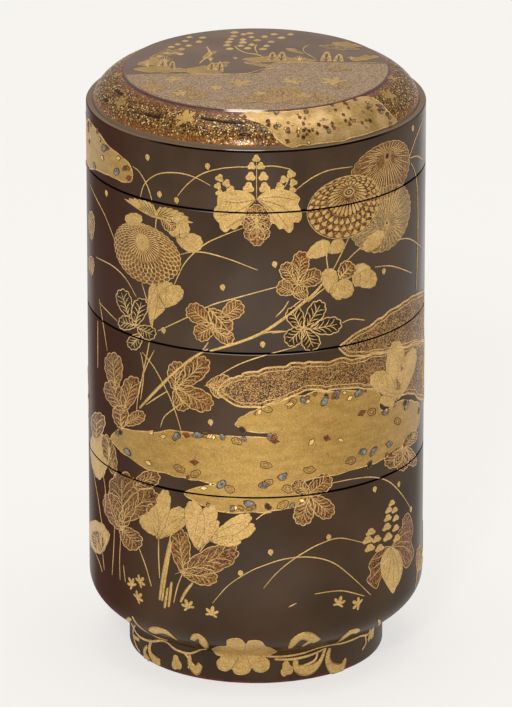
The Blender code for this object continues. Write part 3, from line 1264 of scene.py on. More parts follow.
# %% [markdown]
# The banks. The broad gold one crosses the middle tier with two deep bays and runs down over
# the lowest seam. Two speckled ones with doubled rims lie above it on the right, and a small
# gold one at the upper left. The chips that stand out in the photograph are set one by one,
# and more are scattered along the edges by chance.

# %% Banks
GOLD_BANK = (
    (112, 436), (120, 429), (134, 430), (156, 432), (170, 430), (188, 432.5), (206, 435), (222, 435.5),
    (238, 436), (256, 437.5), (270, 437), (279, 435.5), (268, 433.5), (254, 432), (242, 429), (236, 424),
    (240, 419), (246, 415), (256, 410), (266, 406), (282, 399), (293, 396), (304, 396), (318, 391),
    (332, 392), (345, 389.5), (358, 390), (367, 388.5), (378, 391), (382, 398), (379, 406), (384, 411),
    (394, 405), (403, 400), (412, 400), (420, 406), (419, 424), (411, 439), (399, 450), (387, 457),
    (372, 464), (350, 471), (327, 476.5), (308, 480.5), (304, 485), (306, 493), (307, 501), (296, 507),
    (282, 510), (262, 512), (245, 512.5), (226, 512), (214, 509.5), (202, 505), (192, 500), (185, 493),
    (192, 488), (206, 486), (216, 484), (204, 481.5), (192, 480), (167, 474), (147, 468.5), (133, 460),
    (124, 453), (114, 443),
)
SPECKLED_BANK = (
    (219, 393), (222, 386), (230, 379), (239, 377), (244, 373), (258, 371), (268, 368), (282, 367),
    (290, 364), (305, 363), (315, 361), (330, 361), (340, 358), (352, 359), (365, 356), (380, 352),
    (400, 347), (424, 341), (426, 372), (424, 400), (412, 394), (396, 396), (384, 392), (372, 388),
    (342, 389), (320, 390), (300, 392), (286, 400), (270, 405), (256, 408), (244, 407), (230, 401),
)
RIGHT_SPECKLED_BANK = (
    (340, 346), (352, 336), (366, 328), (384, 316), (400, 304), (412, 297), (424, 291), (424, 318),
    (424, 338), (412, 345), (398, 350), (380, 354), (362, 356), (348, 354),
)
LEFT_BANK = (
    (88, 120), (96, 128), (104, 139), (117, 153), (128, 162), (133, 172), (132, 181), (122, 181),
    (113, 177), (106, 174), (97, 170), (88, 163),
)
SHELL_CHIPS = (
    (177, 436), (198, 435), (128, 452), (325, 401), (336, 394), (359, 393), (386, 412), (363, 452),
    (374, 451), (390, 444), (407, 405), (283, 477), (264, 485), (222, 484), (250, 504), (117, 172),
    (104, 148),
)
FOIL_CHIPS = (
    (259, 412), (307, 401), (350, 398), (210, 436), (149, 463), (204, 488), (235, 508), (103, 158),
    (119, 158), (164, 436), (290, 404), (312, 442), (341, 440),
)
RUST_CHIPS = ((362, 413), (327, 438), (275, 441), (195, 462), (187, 435), (125, 168), (129, 178), (98, 131))
ETCHED_CHIPS = (
    (237, 441), (180, 469), (196, 474), (268, 483), (310, 470), (351, 461), (292, 403), (267, 409),
    (372, 412), (288, 489), (266, 465), (283, 505), (206, 434), (398, 421), (230, 489),
)
# Each kind of chip with its places and its half width in millimetres.
SET_CHIPS = (
    ("shell", SHELL_CHIPS, 1.1), ("foil", FOIL_CHIPS, 0.9), ("rust", RUST_CHIPS, 1.0),
    ("etched", ETCHED_CHIPS, 1.5),
)

speckled = [speckled_bank(picture, traced(*seen)) for seen in (RIGHT_SPECKLED_BANK, SPECKLED_BANK)]
bank(picture, traced(*GOLD_BANK), chips=42)
bank(picture, traced(*LEFT_BANK), chips=8)
for outline in speckled:
    scratches(picture, outline, 26)
for kind, spots, size in SET_CHIPS:
    for spot in spots:
        chip(picture, kind, on_skin(spot), size * MM, chance.uniform(-0.5, 0.9), 1.6)
    print(f"{len(spots)} {kind} chips set by hand")

# %% [markdown]
# The leaves of the front. Each leaf is a group of lobes, and each lobe is given by its stalk
# end, its tip and its half width in the photograph. Gold leaves have faint veins or none, the
# brown ones have raised gold veins, and two leaves are bare lacquer inside a gold outline.

# %% Leaves of the front
# The leaf below the seam's middle on the right, and the one at the left under the netted flower.
DARK_LEAVES = (
    (((301, 328), (291, 307), 8), ((307, 327), (323, 301), 8), ((312, 329), (342, 323), 8),
     ((303, 328), (287, 344), 8), ((306, 330), (315, 350), 8.5)),
    (((129, 315), (121, 289), 6.5), ((136, 324), (143, 298), 7), ((136, 325), (119, 321), 6.5),
     ((139, 328), (156, 336), 6.5), ((141, 335), (130, 348), 6.5)),
)
BROWN_LEAVES = (
    (((298, 280), (303, 251), 8), ((296, 283), (284, 263), 8), ((299, 283), (322, 273), 8),
     ((293, 292), (278, 284), 7.5), ((294, 294), (308, 290), 7.5)),
    (((210, 323), (188, 306), 8.5), ((223, 318), (243, 303), 8.5), ((215, 326), (195, 336), 8.5),
     ((214, 330), (234, 341), 6.5)),
    (((175, 388), (178, 361), 8), ((180, 386), (208, 358), 10), ((178, 388), (213, 407), 10),
     ((176, 390), (187, 410), 8), ((208, 385), (230, 378), 5.5), ((211, 386), (224, 396), 5)),
    (((116, 387), (112, 352), 7.5), ((123, 409), (108, 381), 8), ((125, 409), (135, 376), 8),
     ((127, 424), (145, 413), 6)),
    (((404, 446), (387, 467), 6.5), ((404, 446), (401, 471), 6), ((404, 446), (415, 466), 5),
     ((404, 446), (417, 431), 5)),
    (((123, 526), (122, 471), 12), ((122, 519), (157, 491), 11), ((135, 486), (160, 474), 8),
     ((121, 528), (108, 493), 8), ((122, 528), (140, 548), 9)),
    (((184, 570), (178, 528), 9), ((184, 571), (239, 549), 12), ((184, 572), (218, 579), 8)),
    (((309, 494), (331, 476), 8.5), ((309, 494), (293, 482), 7), ((311, 497), (333, 516), 9),
     ((310, 497), (300, 525), 9)),
    (((163, 218), (176, 230), 6),),
    (((92.5, 238), (91.5, 211), 2.2), ((92.5, 274), (91.5, 256), 2)),
    (((418, 570), (420, 545), 3), ((418, 570), (423, 556), 2)),
    (((101, 551), (95, 530), 4.5),),
    (((115, 473), (105, 434), 5.5),),
)
BOLD_LOBES = (
    ((211, 310), (231, 332), 8.5), ((122, 427), (120, 405), 7), ((341, 277), (353, 263), 8),
    ((97, 438), (98, 412), 5),
)
GOLD_LEAVES = (
    (((171, 233), (190, 226), 8), ((178, 238), (203, 246), 9), ((176, 236), (186, 226), 8)),
    (((152, 322), (154, 282), 4.5), ((152, 318), (170, 281), 9), ((156, 306), (183, 288), 9)),
    (((331, 292), (329, 268), 8), ((331, 292), (354, 286), 9), ((331, 290), (345, 294), 7)),
    (((356, 285), (367, 264), 9), ((356, 282), (377, 276), 9)),
    (((308, 256), (331, 243), 7.5), ((330, 252), (344, 241), 6.5)),
    (((395, 398), (397, 340), 9.5), ((396, 398), (415, 347), 8), ((394, 394), (373, 373), 10),
     ((391, 394), (388, 407), 8)),
    (((158, 536), (166, 489), 7), ((160, 537), (183, 507), 7.5), ((160, 537), (187, 519), 5),
     ((157, 534), (142, 515), 6.5), ((157, 532), (150, 503), 5)),
    (((199, 547), (192, 500), 9), ((199, 547), (213, 504), 8.5), ((199, 547), (219, 520), 5)),
    (((213, 539), (252, 515), 7.5), ((213, 540), (256, 526), 8), ((214, 541), (242, 541), 5)),
    (((100, 477), (97, 431), 6.5),),
    (((100, 552), (93, 520), 7), ((102, 550), (107, 530), 4)),
)
MAPLE_LEAVES = (
    (133, 585, 2.3), (140, 582, 0.8), (138, 598, 0.8), (189, 607, 2.0), (212, 614, 1.4), (339, 604, 1.2),
    (359, 604, 2.6),
)

# Round leaves: the middle, and the half width and half height in pixels.
ROUND_LEAVES = (((134, 219), 9, 6), ((374, 241), 11, 8))
PIXEL_UP = 0.41 * MM

for lobes in GOLD_LEAVES:
    leaf(picture, lobes, "gold", rim=0.16 * MM, vein=0.0, ink="dull", scallop=0.06)
for lobes in BROWN_LEAVES:
    leaf(picture, lobes, "leaf_brown", pairs=5)
for lobes in DARK_LEAVES:
    leaf(picture, lobes, "dark", rim=0.5 * MM, vein=0.44 * MM, pairs=4)
leaf(picture, BOLD_LOBES, "leaf_brown", level="flower", rim=0.5 * MM, vein=0.55 * MM, pairs=3)
for x, y, turn in MAPLE_LEAVES:
    maple(picture, on_skin((x, y)), 3.1 * MM, turn)
for (x, y), across, up in ROUND_LEAVES:
    pixel_across = abs(on_skin((x + 1, y)) - on_skin((x, y)))
    round_leaf(picture, on_skin((x, y)), across * pixel_across, up * PIXEL_UP)
print(f"{len(GOLD_LEAVES)} gold leaves, {len(BROWN_LEAVES)} brown and {len(DARK_LEAVES)} of bare lacquer")

# %% [markdown]
# The flowers of the front. A chrysanthemum is placed by its edges and its eye in the
# photograph. The four differ, as they would in the maker's pattern book: a net of loops, full
# drops and two fans of fine rays. Two more are seen from the side, each half closed.

# %% Flowers of the front


def flower_seen(left, right, top, bottom, eye, eye_size):
    """A flower from its edges and its eye in the photograph, with its eye's size in millimetres."""
    middle = on_skin(((left + right) / 2, (top + bottom) / 2))
    across = (on_skin((right, (top + bottom) / 2)) - on_skin((left, (top + bottom) / 2))).real / 2
    up = (on_skin(((left + right) / 2, top)) - on_skin(((left + right) / 2, bottom))).imag / 2
    return Flower(middle, across, up, on_skin(eye), eye_size * MM)


def fan(drawing, base, tips):
    """A flower seen from its side: petals from one root to their tips, with dark gaps between them."""
    gaps = [base + 0.94 * ((a + b) / 2 - base) for a, b in zip(tips, tips[1:])]
    rim = [place for pair in zip(tips, gaps) for place in pair]
    drawing.fill("gold", smooth([base] + rim + tips[-1:], closed=True, spacing=0.6 * MM), "leaf")
    for gap in gaps:
        drawing.line("dark", [base + 0.15 * (gap - base), (base + gap) / 2, gap], 0.36 * MM, "leaf")


LOW_RAYS = (357, 414, 186, 251, (387, 223), 0.7)
HIGH_RAYS = (356, 413, 142.5, 201, (387.5, 156), 1.2)
DROPS = (311, 383, 176, 238, (349.3, 191.8), 2.2)
NET = (112, 176.5, 224, 283, (143, 242), 3.2)
# Each flower seen from its side has its root, and then the tips of its petals.
FANS = (
    ((156, 218), ((126, 200), (130, 198), (135, 198), (140, 199), (145, 200), (150, 202), (154, 205))),
    ((157, 218), ((160, 207), (166, 207), (172, 208), (178, 210), (184, 213), (189, 217), (192, 223))),
)

ray_flower(picture, flower_seen(*LOW_RAYS), "dull")
ray_flower(picture, flower_seen(*HIGH_RAYS), "brown")
drop_flower(picture, flower_seen(*DROPS))
netted_flower(picture, flower_seen(*NET))
for base, tips in FANS:
    fan(picture, on_skin(base), traced(*tips))
print("4 chrysanthemums and", len(FANS), "flowers from the side")

# %% [markdown]
# Two paulownias: a whole one under the lid, with a brown leaf between two golden ones, and
# one that is half turned away at the lower right, where its leaves look narrow. Both have
# their ribs and buds placed by the photograph.

# %% Paulownias of the front
HEART = (257, 199)
LEFT_BROAD_LEAF = (
    (255, 199), (250, 193), (240, 190.5), (230, 191), (221, 193), (218, 198), (218, 205), (215, 209),
    (214.5, 216), (218, 221), (220, 223), (221, 228), (226, 232), (231, 228), (235, 229.5), (240, 225),
    (244, 224), (245, 216), (249, 207),
)
RIGHT_BROAD_LEAF = (
    (258, 199), (264, 193), (275, 189), (286, 190), (294, 193), (300, 198), (298, 204), (300.5, 209),
    (302, 216), (299, 222), (294, 222), (293, 229), (289, 232.5), (284, 228), (280, 229), (276, 224),
    (271, 222), (270, 215), (264, 206),
)
LEFT_RIBS = ((219, 200), (217, 216), (227, 228), (239, 222))
RIGHT_RIBS = ((296, 200), (298, 217), (288, 228), (276, 222))
MIDDLE_LEAF = (
    ((257, 220), (257, 204), 6), ((257, 214), (245, 212), 5), ((257, 214), (269, 212), 5),
    ((257, 219), (243, 226), 6.5), ((257, 219), (271, 226), 6.5), ((257, 224), (247, 239), 6),
    ((257, 224), (268, 238), 6), ((257, 223), (257.5, 246), 7),
)
BUDS = (
    (256.7, 158.5, 3.4), (252, 166, 3.5), (261.3, 166, 3.5), (251, 176.5, 4.2), (263.8, 176.5, 4.2),
    (249, 187.5, 4.8), (265, 187.5, 4.8), (220, 178, 3.6), (227, 183, 3.5), (218.3, 186, 3.2),
    (231.5, 190, 3.8), (291.3, 174, 4), (284.1, 179.5, 3.6), (293.5, 182.5, 3.6), (280, 186.5, 3.8),
    (219.8, 193, 3.2), (292.7, 190, 3.2),
)
SPRAY_STALKS = (
    ((257, 199), (257, 178), (257, 159)), ((234, 193), (227, 187), (221, 178)),
    ((279, 192), (286, 185), (291, 174)),
)
BUD_PIXEL = 0.47 * MM
LEAN = 0.01

SIDE_HEART = (391, 547)
SIDE_BUDS = (
    (392, 503, 2.6), (389, 510, 2.8), (395, 510, 2.6), (388, 518, 3.0), (396, 518, 2.8), (387, 527, 3.4),
    (396, 528, 3.0), (388, 537, 3.6), (397, 538, 3.2), (371, 532, 3.2), (368, 540, 3.4), (377, 539, 3.2),
    (370, 548, 3.4), (380, 548, 3.2),
)
SIDE_LEFT_LEAF = (
    (391, 547), (383, 548), (374, 556), (369, 566), (371, 573), (367, 580), (372, 586), (377, 588),
    (380, 580), (384, 574), (387, 564), (391, 556),
)
SIDE_MIDDLE_LEAF = (
    (391, 547), (385, 552), (381, 562), (382, 575), (386, 583), (389, 588), (393, 593), (396, 587),
    (399, 582), (402, 572), (402, 560), (397, 551),
)
SIDE_RIGHT_LEAF = (
    (393, 546), (398, 538), (402, 529), (403, 519), (408, 513), (412, 521), (413, 531), (411, 541),
    (414, 552), (411, 562), (406, 568), (402, 562), (399, 553),
)
SIDE_LEFT_RIBS = ((372, 560), (371, 570), (370, 580), (376, 584), (382, 573))
SIDE_RIGHT_RIBS = ((409, 517), (411, 530), (409, 542), (412, 553), (406, 564))
SIDE_MIDDLE_RIBS = ((385, 560), (387, 580), (393, 588), (399, 575))
SIDE_BUD_PIXEL = 0.50 * MM


def paulownia_leaf(heart, seen, fill, ribs, level="flower"):
    """A broad leaf from pixels of the photograph."""
    broad_leaf(picture, traced(*seen), fill, on_skin(heart), traced(*ribs), level)


for route in SPRAY_STALKS:
    picture.line("line", smooth(traced(*route)), 0.34 * MM, "petal")
paulownia_leaf(HEART, LEFT_BROAD_LEAF, "gold", LEFT_RIBS)
paulownia_leaf(HEART, RIGHT_BROAD_LEAF, "gold", RIGHT_RIBS)
leaf(picture, MIDDLE_LEAF, "leaf_brown", level="petal", rim=0.34 * MM, vein=0.30 * MM, pairs=3)
for x, y, size in BUDS:
    bud(picture, on_skin((x, y)), size * BUD_PIXEL, (x - HEART[0]) * LEAN)
paulownia_leaf(SIDE_HEART, SIDE_LEFT_LEAF, "leaf_brown", SIDE_LEFT_RIBS)
paulownia_leaf(SIDE_HEART, SIDE_RIGHT_LEAF, "leaf_brown", SIDE_RIGHT_RIBS)
paulownia_leaf(SIDE_HEART, SIDE_MIDDLE_LEAF, "gold", SIDE_MIDDLE_RIBS, "petal")
for x, y, size in SIDE_BUDS:
    bud(picture, on_skin((x, y)), size * SIDE_BUD_PIXEL, wide=1.7)
print(len(BUDS) + len(SIDE_BUDS), "buds")

# %% [markdown]
# The foot carries a scroll: a vine with curled leaves like commas, and one many-lobed flower
# in front, half on the foot and half on the cove. Its strokes are drawn with a broad brush that
# is pressed down at the leaves. The same strokes are turned round the foot for the other
# sides.

# %% Scroll round the foot
VINES = (
    ((262, 656), (285, 656), (306, 652), (325, 646), (342, 643), (360, 636)),
    ((275, 659), (292, 659), (310, 655), (326, 648)),
    ((132, 622), (140, 636), (152, 641), (165, 641), (176, 649), (192, 653), (207, 649)),
    ((133, 616), (145, 630), (156, 636), (168, 640)),
    ((185, 653), (190, 660), (189, 668)),
    ((318, 651), (315, 660), (300, 667)),
    ((134, 634), (137, 645), (141, 652)),
    ((360, 636), (370, 630), (379, 620)),
    ((365, 634), (366, 642), (362, 650)),
)
# Each curled leaf is a route from its fine end to its fat end, with the widths there in pixels.
CURLS = (
    (((178, 640), (168, 633), (158, 630), (152, 632)), (1.5, 6.5, 8.5, 5)),
    (((207, 648), (203, 640), (197, 636), (193, 640)), (3, 7, 6, 4)),
    (((152, 640), (150, 650), (154, 658), (161, 662)), (3, 5, 7, 5)),
    (((148, 646), (145, 652), (150, 660)), (2, 5, 4)),
    (((190, 655), (191, 664), (197, 670), (201, 664)), (3, 6, 8, 5)),
    (((290, 648), (296, 640), (307, 636), (317, 641)), (3, 7, 8.5, 7)),
    (((313, 640), (308, 643), (303, 646)), (5, 4, 2)),
    (((326, 648), (320, 662), (308, 670), (297, 668), (296, 660)), (3, 4, 8, 8, 5)),
    (((330, 648), (328, 660), (333, 668), (342, 667), (346, 658)), (3, 6, 8.5, 8, 2)),
    (((336, 643), (346, 636), (354, 631), (358, 632)), (1.5, 5.5, 8, 4)),
    (((368, 641), (371, 633), (374, 628)), (3, 6, 4)),
    (((131, 618), (134, 630), (140, 640)), (3, 4, 3)),
)
FOOT_BUDS = ((177, 663, 6.0), (287, 669, 6.0), (372, 634, 4.0), (146, 655, 3.5))
# The flower's petals, each from the notch before it round its rim. Its heart is at the foot's edge.
FLOWER_HEART = (244, 653)
FLOWER_PETALS = (
    ((227, 645.5), (227.5, 640.5), (231, 638.5), (237, 638), (242, 639.5)),
    ((246.5, 644), (249, 640.8), (256, 640), (262, 641.5)),
    ((266, 646), (272, 648), (277, 651.5), (271, 655)),
    ((265.5, 657), (269.5, 661), (269, 668), (263, 672), (256, 671)),
    ((252, 667.5), (249.5, 672), (243, 674.5), (236, 673.5)),
    ((232, 668.5), (226, 671), (219, 668), (217.5, 661.5)),
    ((221.5, 656.5), (215.5, 653), (212.5, 648.8), (219, 646.2)),
)
FOOT_PIXEL = 0.58 * MM


def brushed(drawing, route, widths):
    """A stroke whose width is given at each of its points, in pixels on the foot."""
    fine = smooth(route, spacing=0.7 * MM)
    swell = np.interp(np.linspace(0, len(widths) - 1, len(fine)), range(len(widths)), widths)
    drawing.lines.setdefault("gold", []).append((fine, list(swell * FOOT_PIXEL), LEVELS["leaf"], False))


def foot_scroll(drawing, moved):
    """All strokes of the scroll's front, moved round the foot."""
    for route in VINES:
        drawing.line("line", smooth([z + moved for z in traced(*route)]), 1.3 * MM, "leaf", fine_ends=0.8)
    for route, widths in CURLS:
        brushed(drawing, [z + moved for z in traced(*route)], widths)
    for x, y, size in FOOT_BUDS:
        bud(drawing, on_skin((x, y)) + moved, size * FOOT_PIXEL, 0.2)
    petals = [[z + moved for z in traced(*petal)] for petal in FLOWER_PETALS]
    heart = on_skin(FLOWER_HEART) + moved
    outline = smooth(sum(petals, []), closed=True)
    drawing.fill("gold", outline, "flower")
    drawing.line("line", outline, 0.35 * MM, "flower", closed=True)
    for notch, *_ in petals:
        drawing.line("dull", smooth([heart + 0.15 * (notch - heart), notch]), 0.30 * MM, "flower")


HALF_ROUND = math.pi * RADIUS
for moved in (0.0, HALF_ROUND):
    foot_scroll(picture, moved)
print(2 * len(CURLS), "curled leaves round the foot")

# %% [markdown]
# The lid's shoulder is covered with coarse gold grains on the left, and on the right a bank of
# plain gold lies over them, crowded with chips along its edge. A few gold maple leaves and
# dark slivers are scattered round it.

# %% Shoulder of the lid
SHOULDER_BANK = (
    (240, 116), (262, 124), (271, 132), (279, 140), (287, 147), (310, 145), (335, 142), (360, 137),
    (380, 130), (397, 122), (391, 114), (384, 106), (373, 98), (360, 95), (346, 100), (328, 105),
    (306, 109), (282, 111), (262, 112), (250, 112),
)
SHOULDER_LEAVES = ((119, 104, 4.4), (186, 120, 5.2), (392, 97, 4.6), (394, 79, 3.6), (112, 76, 3.4))
SLIVERS = (
    ((145, 114), (162, 118)), ((201, 118), (222, 121)), ((218, 121), (243, 123)),
    ((240, 134), (252, 135)), ((116, 90), (123, 95)), ((104, 99), (108, 101)),
)
# Crowds of small chips: the middle in pixels and how many.
CHIP_CROWDS = (
    (262, 128, 7), (275, 124, 8), (290, 131, 9), (308, 132, 9), (326, 125, 7), (356, 120, 9),
    (386, 112, 8), (340, 112, 4), (300, 118, 6), (270, 140, 6), (370, 106, 4),
)
CROWD_KINDS = ("rust", "dark", "foil", "dark", "rust", "shell")
CROWD_SPREAD = 6
BACK_SHOULDER_BANK = (
    (-30, 224), (-34, 230), (-36, 236), (-20, 237), (0, 236), (24, 237), (44, 236), (58, 231), (50, 226),
    (30, 223.5), (0, 224),
)


def sheet(*places):
    """Places in millimetres: across from the middle of the back, and up from the foot."""
    return [complex(across * MM + HALF_ROUND, up * MM) for across, up in places]


bank(picture, traced(*SHOULDER_BANK), "lid_bank", chips=10)
bank(picture, sheet(*BACK_SHOULDER_BANK), "lid_bank", chips=40)
for x, y, size in SHOULDER_LEAVES:
    maple(picture, on_skin((x, y)), size * MM, chance.uniform(0.8, 2.4), "bank", "flower")
for start, end in SLIVERS:
    picture.line("dark", smooth(traced(start, end)), 1.3 * MM, "leaf")
for x, y, count in CHIP_CROWDS:
    for _ in range(count):
        spot = (x + chance.gauss(0, CROWD_SPREAD), y + chance.gauss(0, CROWD_SPREAD * 0.45))
        kind = chance.choice(CROWD_KINDS)
        chip(picture, kind, on_skin(spot), chance.uniform(0.35, 0.7) * MM, chance.uniform(0, 3), 1.2)
print(sum(count for *_, count in CHIP_CROWDS), "small chips on the shoulder")

# %% [markdown]
# The photograph shows only the front, so the back is drawn more plainly with the same forms:
# the banks run on round the box, and one group of flowers with its leaves and grass stands
# between them. It reuses leaves of the front, moved round the box.

# %% The back of the box
BACK_SPECKLED_BANK = (
    (-110, 118), (-92, 126), (-76, 127), (-60, 133), (-40, 131), (-22, 136), (-8, 132), (-14, 125),
    (-34, 120), (-52, 115), (-76, 108), (-98, 106), (-112, 108),
)
BACK_GOLD_BANK = (
    (20, 100), (34, 108), (52, 110), (70, 115), (90, 114), (104, 110), (110, 100), (104, 92), (84, 88),
    (64, 85), (40, 88), (28, 93),
)
BACK_UPPER_BANK = (
    (58, 196), (70, 205), (86, 212), (104, 216), (118, 212), (114, 200), (98, 194), (78, 190), (64, 190),
)
BACK_GRASS = (
    ((-40, 150), (-30, 172), (-10, 186), (10, 182)), ((44, 148), (36, 170), (18, 190), (-4, 198)),
    ((-62, 168), (-48, 182), (-30, 188)), ((60, 160), (52, 178), (34, 186)),
    ((-30, 46), (-14, 66), (8, 74), (30, 60)), ((6, 48), (20, 66), (44, 74), (62, 68)),
    ((-66, 42), (-60, 58), (-48, 68)), ((-86, 150), (-80, 166), (-70, 176)),
    ((72, 40), (76, 56), (86, 66)),
)
BACK_STALKS = (
    ((-8, 168), (-2, 150), (-12, 132), (-24, 112)), ((18, 156), (8, 144), (-4, 132)),
    ((-24, 112), (-34, 96), (-38, 76)), ((-44, 62), (-45, 50), (-44, 40)),
    ((-56, 60), (-55, 48), (-56, 38)), ((28, 150), (40, 136), (50, 120)),
)
BACK_DEW = (
    (-52, 150), (30, 128), (62, 140), (-2, 88), (-60, 92), (78, 72), (0, 60), (-76, 192), (40, 206),
    (-18, 208),
)
# Leaves taken from the front: which, and how far it is moved across and up.
BACK_LEAVES = (
    (0, 24.0, -35.0), (1, -34.0, -22.0), (2, -8.0, -34.0), (5, 10.0, 8.0), (6, -8.0, 9.0),
    (7, 36.0, 30.0),
)
GILDED_LEAVES = (2, 6)
BACK_MAPLES = ((-30, 34, 0.6), (-20, 38, 2.0), (22, 36, 1.1), (34, 40, 2.6), (64, 36, 0.3))


def flower_at(middle, across, up, eye, eye_size):
    """A flower of the back, in millimetres."""
    middle, eye = sheet(middle, eye)
    return Flower(middle, across * MM, up * MM, eye, eye_size * MM)


scratches(picture, speckled_bank(picture, sheet(*BACK_SPECKLED_BANK)), 30)
bank(picture, sheet(*BACK_GOLD_BANK), chips=26)
bank(picture, sheet(*BACK_UPPER_BANK), chips=12)
for route in BACK_GRASS:
    picture.line("line", smooth(sheet(*route)), 0.62 * MM, "leaf")
for route in BACK_STALKS:
    picture.line("line", smooth(sheet(*route)), 0.9 * MM, "stalk", fine_ends=0.7)
for spot in BACK_DEW:
    dew(picture, sheet(spot)[0])
for number, across, up in BACK_LEAVES:
    finish = "gold" if number in GILDED_LEAVES else "leaf_brown"
    leaf(picture, BROWN_LEAVES[number], finish, sheet((across, up))[0])
for across, up, turn in BACK_MAPLES:
    maple(picture, sheet((across, up))[0], 2.2 * MM, turn)
ray_flower(picture, flower_at((24, 158), 11, 11, (25, 161), 0.8), "dull", rays=72)
netted_flower(picture, flower_at((-8, 176), 13, 12, (-9, 180), 3.0))
drop_flower(picture, flower_at((52, 128), 11, 10, (51, 132), 2.0))
print(len(BACK_LEAVES), "leaves and 3 flowers at the back")

# %% [markdown]
# The drawing is finished, so it goes onto the box. All fills of one finish are one flat layer,
# which is scored, cut at the seams and wrapped, and the strokes follow in the same way. Gold
# strokes are broad stalks and curls, so they are pressed flatter than the fine lines.

# %% Laying the picture
for finish, fills in picture.fills.items():
    flat = cut_fills("flat", fills)
    score(flat)
    share_out(flat, "fills", finish)
for finish, lines in picture.lines.items():
    flatness = BROAD_FLATNESS if finish == "gold" else BRUSH_FLATNESS
    share_out(brush_lines("flat", lines, flatness), "strokes", finish)

# %% [markdown]
# The lid's panel is a small landscape on its own sheet, seen from above: far water and sky
# in thin lacquer, a shore, reeds, a pine with flat clouds of needles, and near water dusted
# with gold, where maple leaves drift. A pixel of the photograph is carried down its line of
# sight until it meets the panel. Each helper below draws one kind of thing from its pixels.

# %% Helpers for the panel of the lid
PANEL_RELIEF = 0.55
PANEL_MIDDLE_HEIGHT = PANEL_TOP + PANEL_CROWN * 0.6
# The outline of a low bank: the share of its length, its height in thicknesses, and 1 at its hump.
BANK_FORM = (
    (0, 0, 0), (0.08, 0.3, 0), (0.22, 0.5, 0), (0.36, 0.45, 1), (0.52, 0.7, 1), (0.66, 0.4, 0),
    (0.8, 0.45, 0), (0.93, 0.2, 0), (1, 0, 0), (0.88, -0.25, 0), (0.72, -0.3, 0), (0.55, -0.55, 0),
    (0.4, -0.4, 0), (0.25, -0.5, 0), (0.1, -0.25, 0),
)
NEEDLE_CLOUD = ((-1, 0.3), (-0.45, -0.7), (0.05, -1), (0.5, -0.6), (1, 0), (0.45, 0.8), (-0.3, 0.9))
panel_picture = Drawing()


def on_lid(seen):
    """The place on the panel, from above, that a pixel of the photograph shows."""
    cos, sin = math.cos(VIEW_ELEVATION), math.sin(VIEW_ELEVATION)
    right, rise = (seen[0] - AXIS_SEEN[0]) / FOCAL_PIXELS, (AXIS_SEEN[1] - seen[1]) / FOCAL_PIXELS
    eye_y, eye_z = -VIEW_DISTANCE * cos, AIM_HEIGHT + VIEW_DISTANCE * sin
    along_y, along_z = cos + rise * sin, rise * cos - sin
    distance = (PANEL_MIDDLE_HEIGHT - eye_z) / along_z
    return complex(right * distance, eye_y + along_y * distance)


def lay_on_lid(piece):
    """Moves a flat piece up onto the crowned panel."""
    for vert in piece.data.vertices:
        vert.co.z = vert.co.z * PANEL_RELIEF + panel_height(math.hypot(vert.co.x, vert.co.y))


def strip(left, right, thickness, finish, lift):
    """A low bank or a drifting cloud, from its two ends and its thickness. lift makes it humped."""
    (x0, y0), (x1, y1) = left, right
    places = []
    for share, height, hump in BANK_FORM:
        rise = (height + lift * hump) * thickness
        places.append(on_lid((x0 + (x1 - x0) * share, y0 + (y1 - y0) * share - rise)))
    outline = smooth(places, closed=True)
    panel_picture.fill(finish, outline, "leaf")
    panel_picture.line("bank" if finish == "mist" else "line", outline, 0.3 * MM, "leaf", closed=True)


def tuft(root, height, spread, blades):
    """Blades that fan up from one root."""
    for k in range(blades):
        lean = (k / (blades - 1) - 0.5) * 2 * spread
        tip = (root[0] + lean, root[1] - height * (1 - 0.3 * abs(lean) / (spread + 0.1)))
        bend = ((root[0] * 2 + tip[0]) / 3, (root[1] + tip[1] * 1.6) / 2.6)
        panel_picture.line("line", smooth([on_lid(root), on_lid(bend), on_lid(tip)]), 0.55 * MM, "flower")


def needles(x, y, half, height):
    """A flat cloud of pine needles that is pointed at both ends."""
    places = [on_lid((x + half * right, y + height * down)) for right, down in NEEDLE_CLOUD]
    panel_picture.fill("line", smooth(places, closed=True), "leaf")


def mound(left, right, foot, height):
    """A leafy mound with dark veins that fan up from its foot."""
    middle, half = (left + right) / 2, (right - left) / 2
    places = []
    for share in np.linspace(-1, 1, 9):
        rise = 1 - abs(share) ** 2.4
        places.append((middle + half * (share + 0.25 * rise), foot - height * rise))
    panel_picture.fill("gold", [on_lid(place) for place in places][::-1], "flower")
    for x, y in places[1:-1:2] + places[4:5]:
        tip = (middle + 0.8 * (x - middle), foot + 0.8 * (y - foot))
        panel_picture.line("brown", smooth([on_lid((middle, foot)), on_lid(tip)]), 0.36 * MM, "chip")


# %% [markdown]
# What the landscape holds, all in pixels of the photograph. It is small there and blurred, so
# each thing is simplified to the form that a maker would lay down with a few strokes.

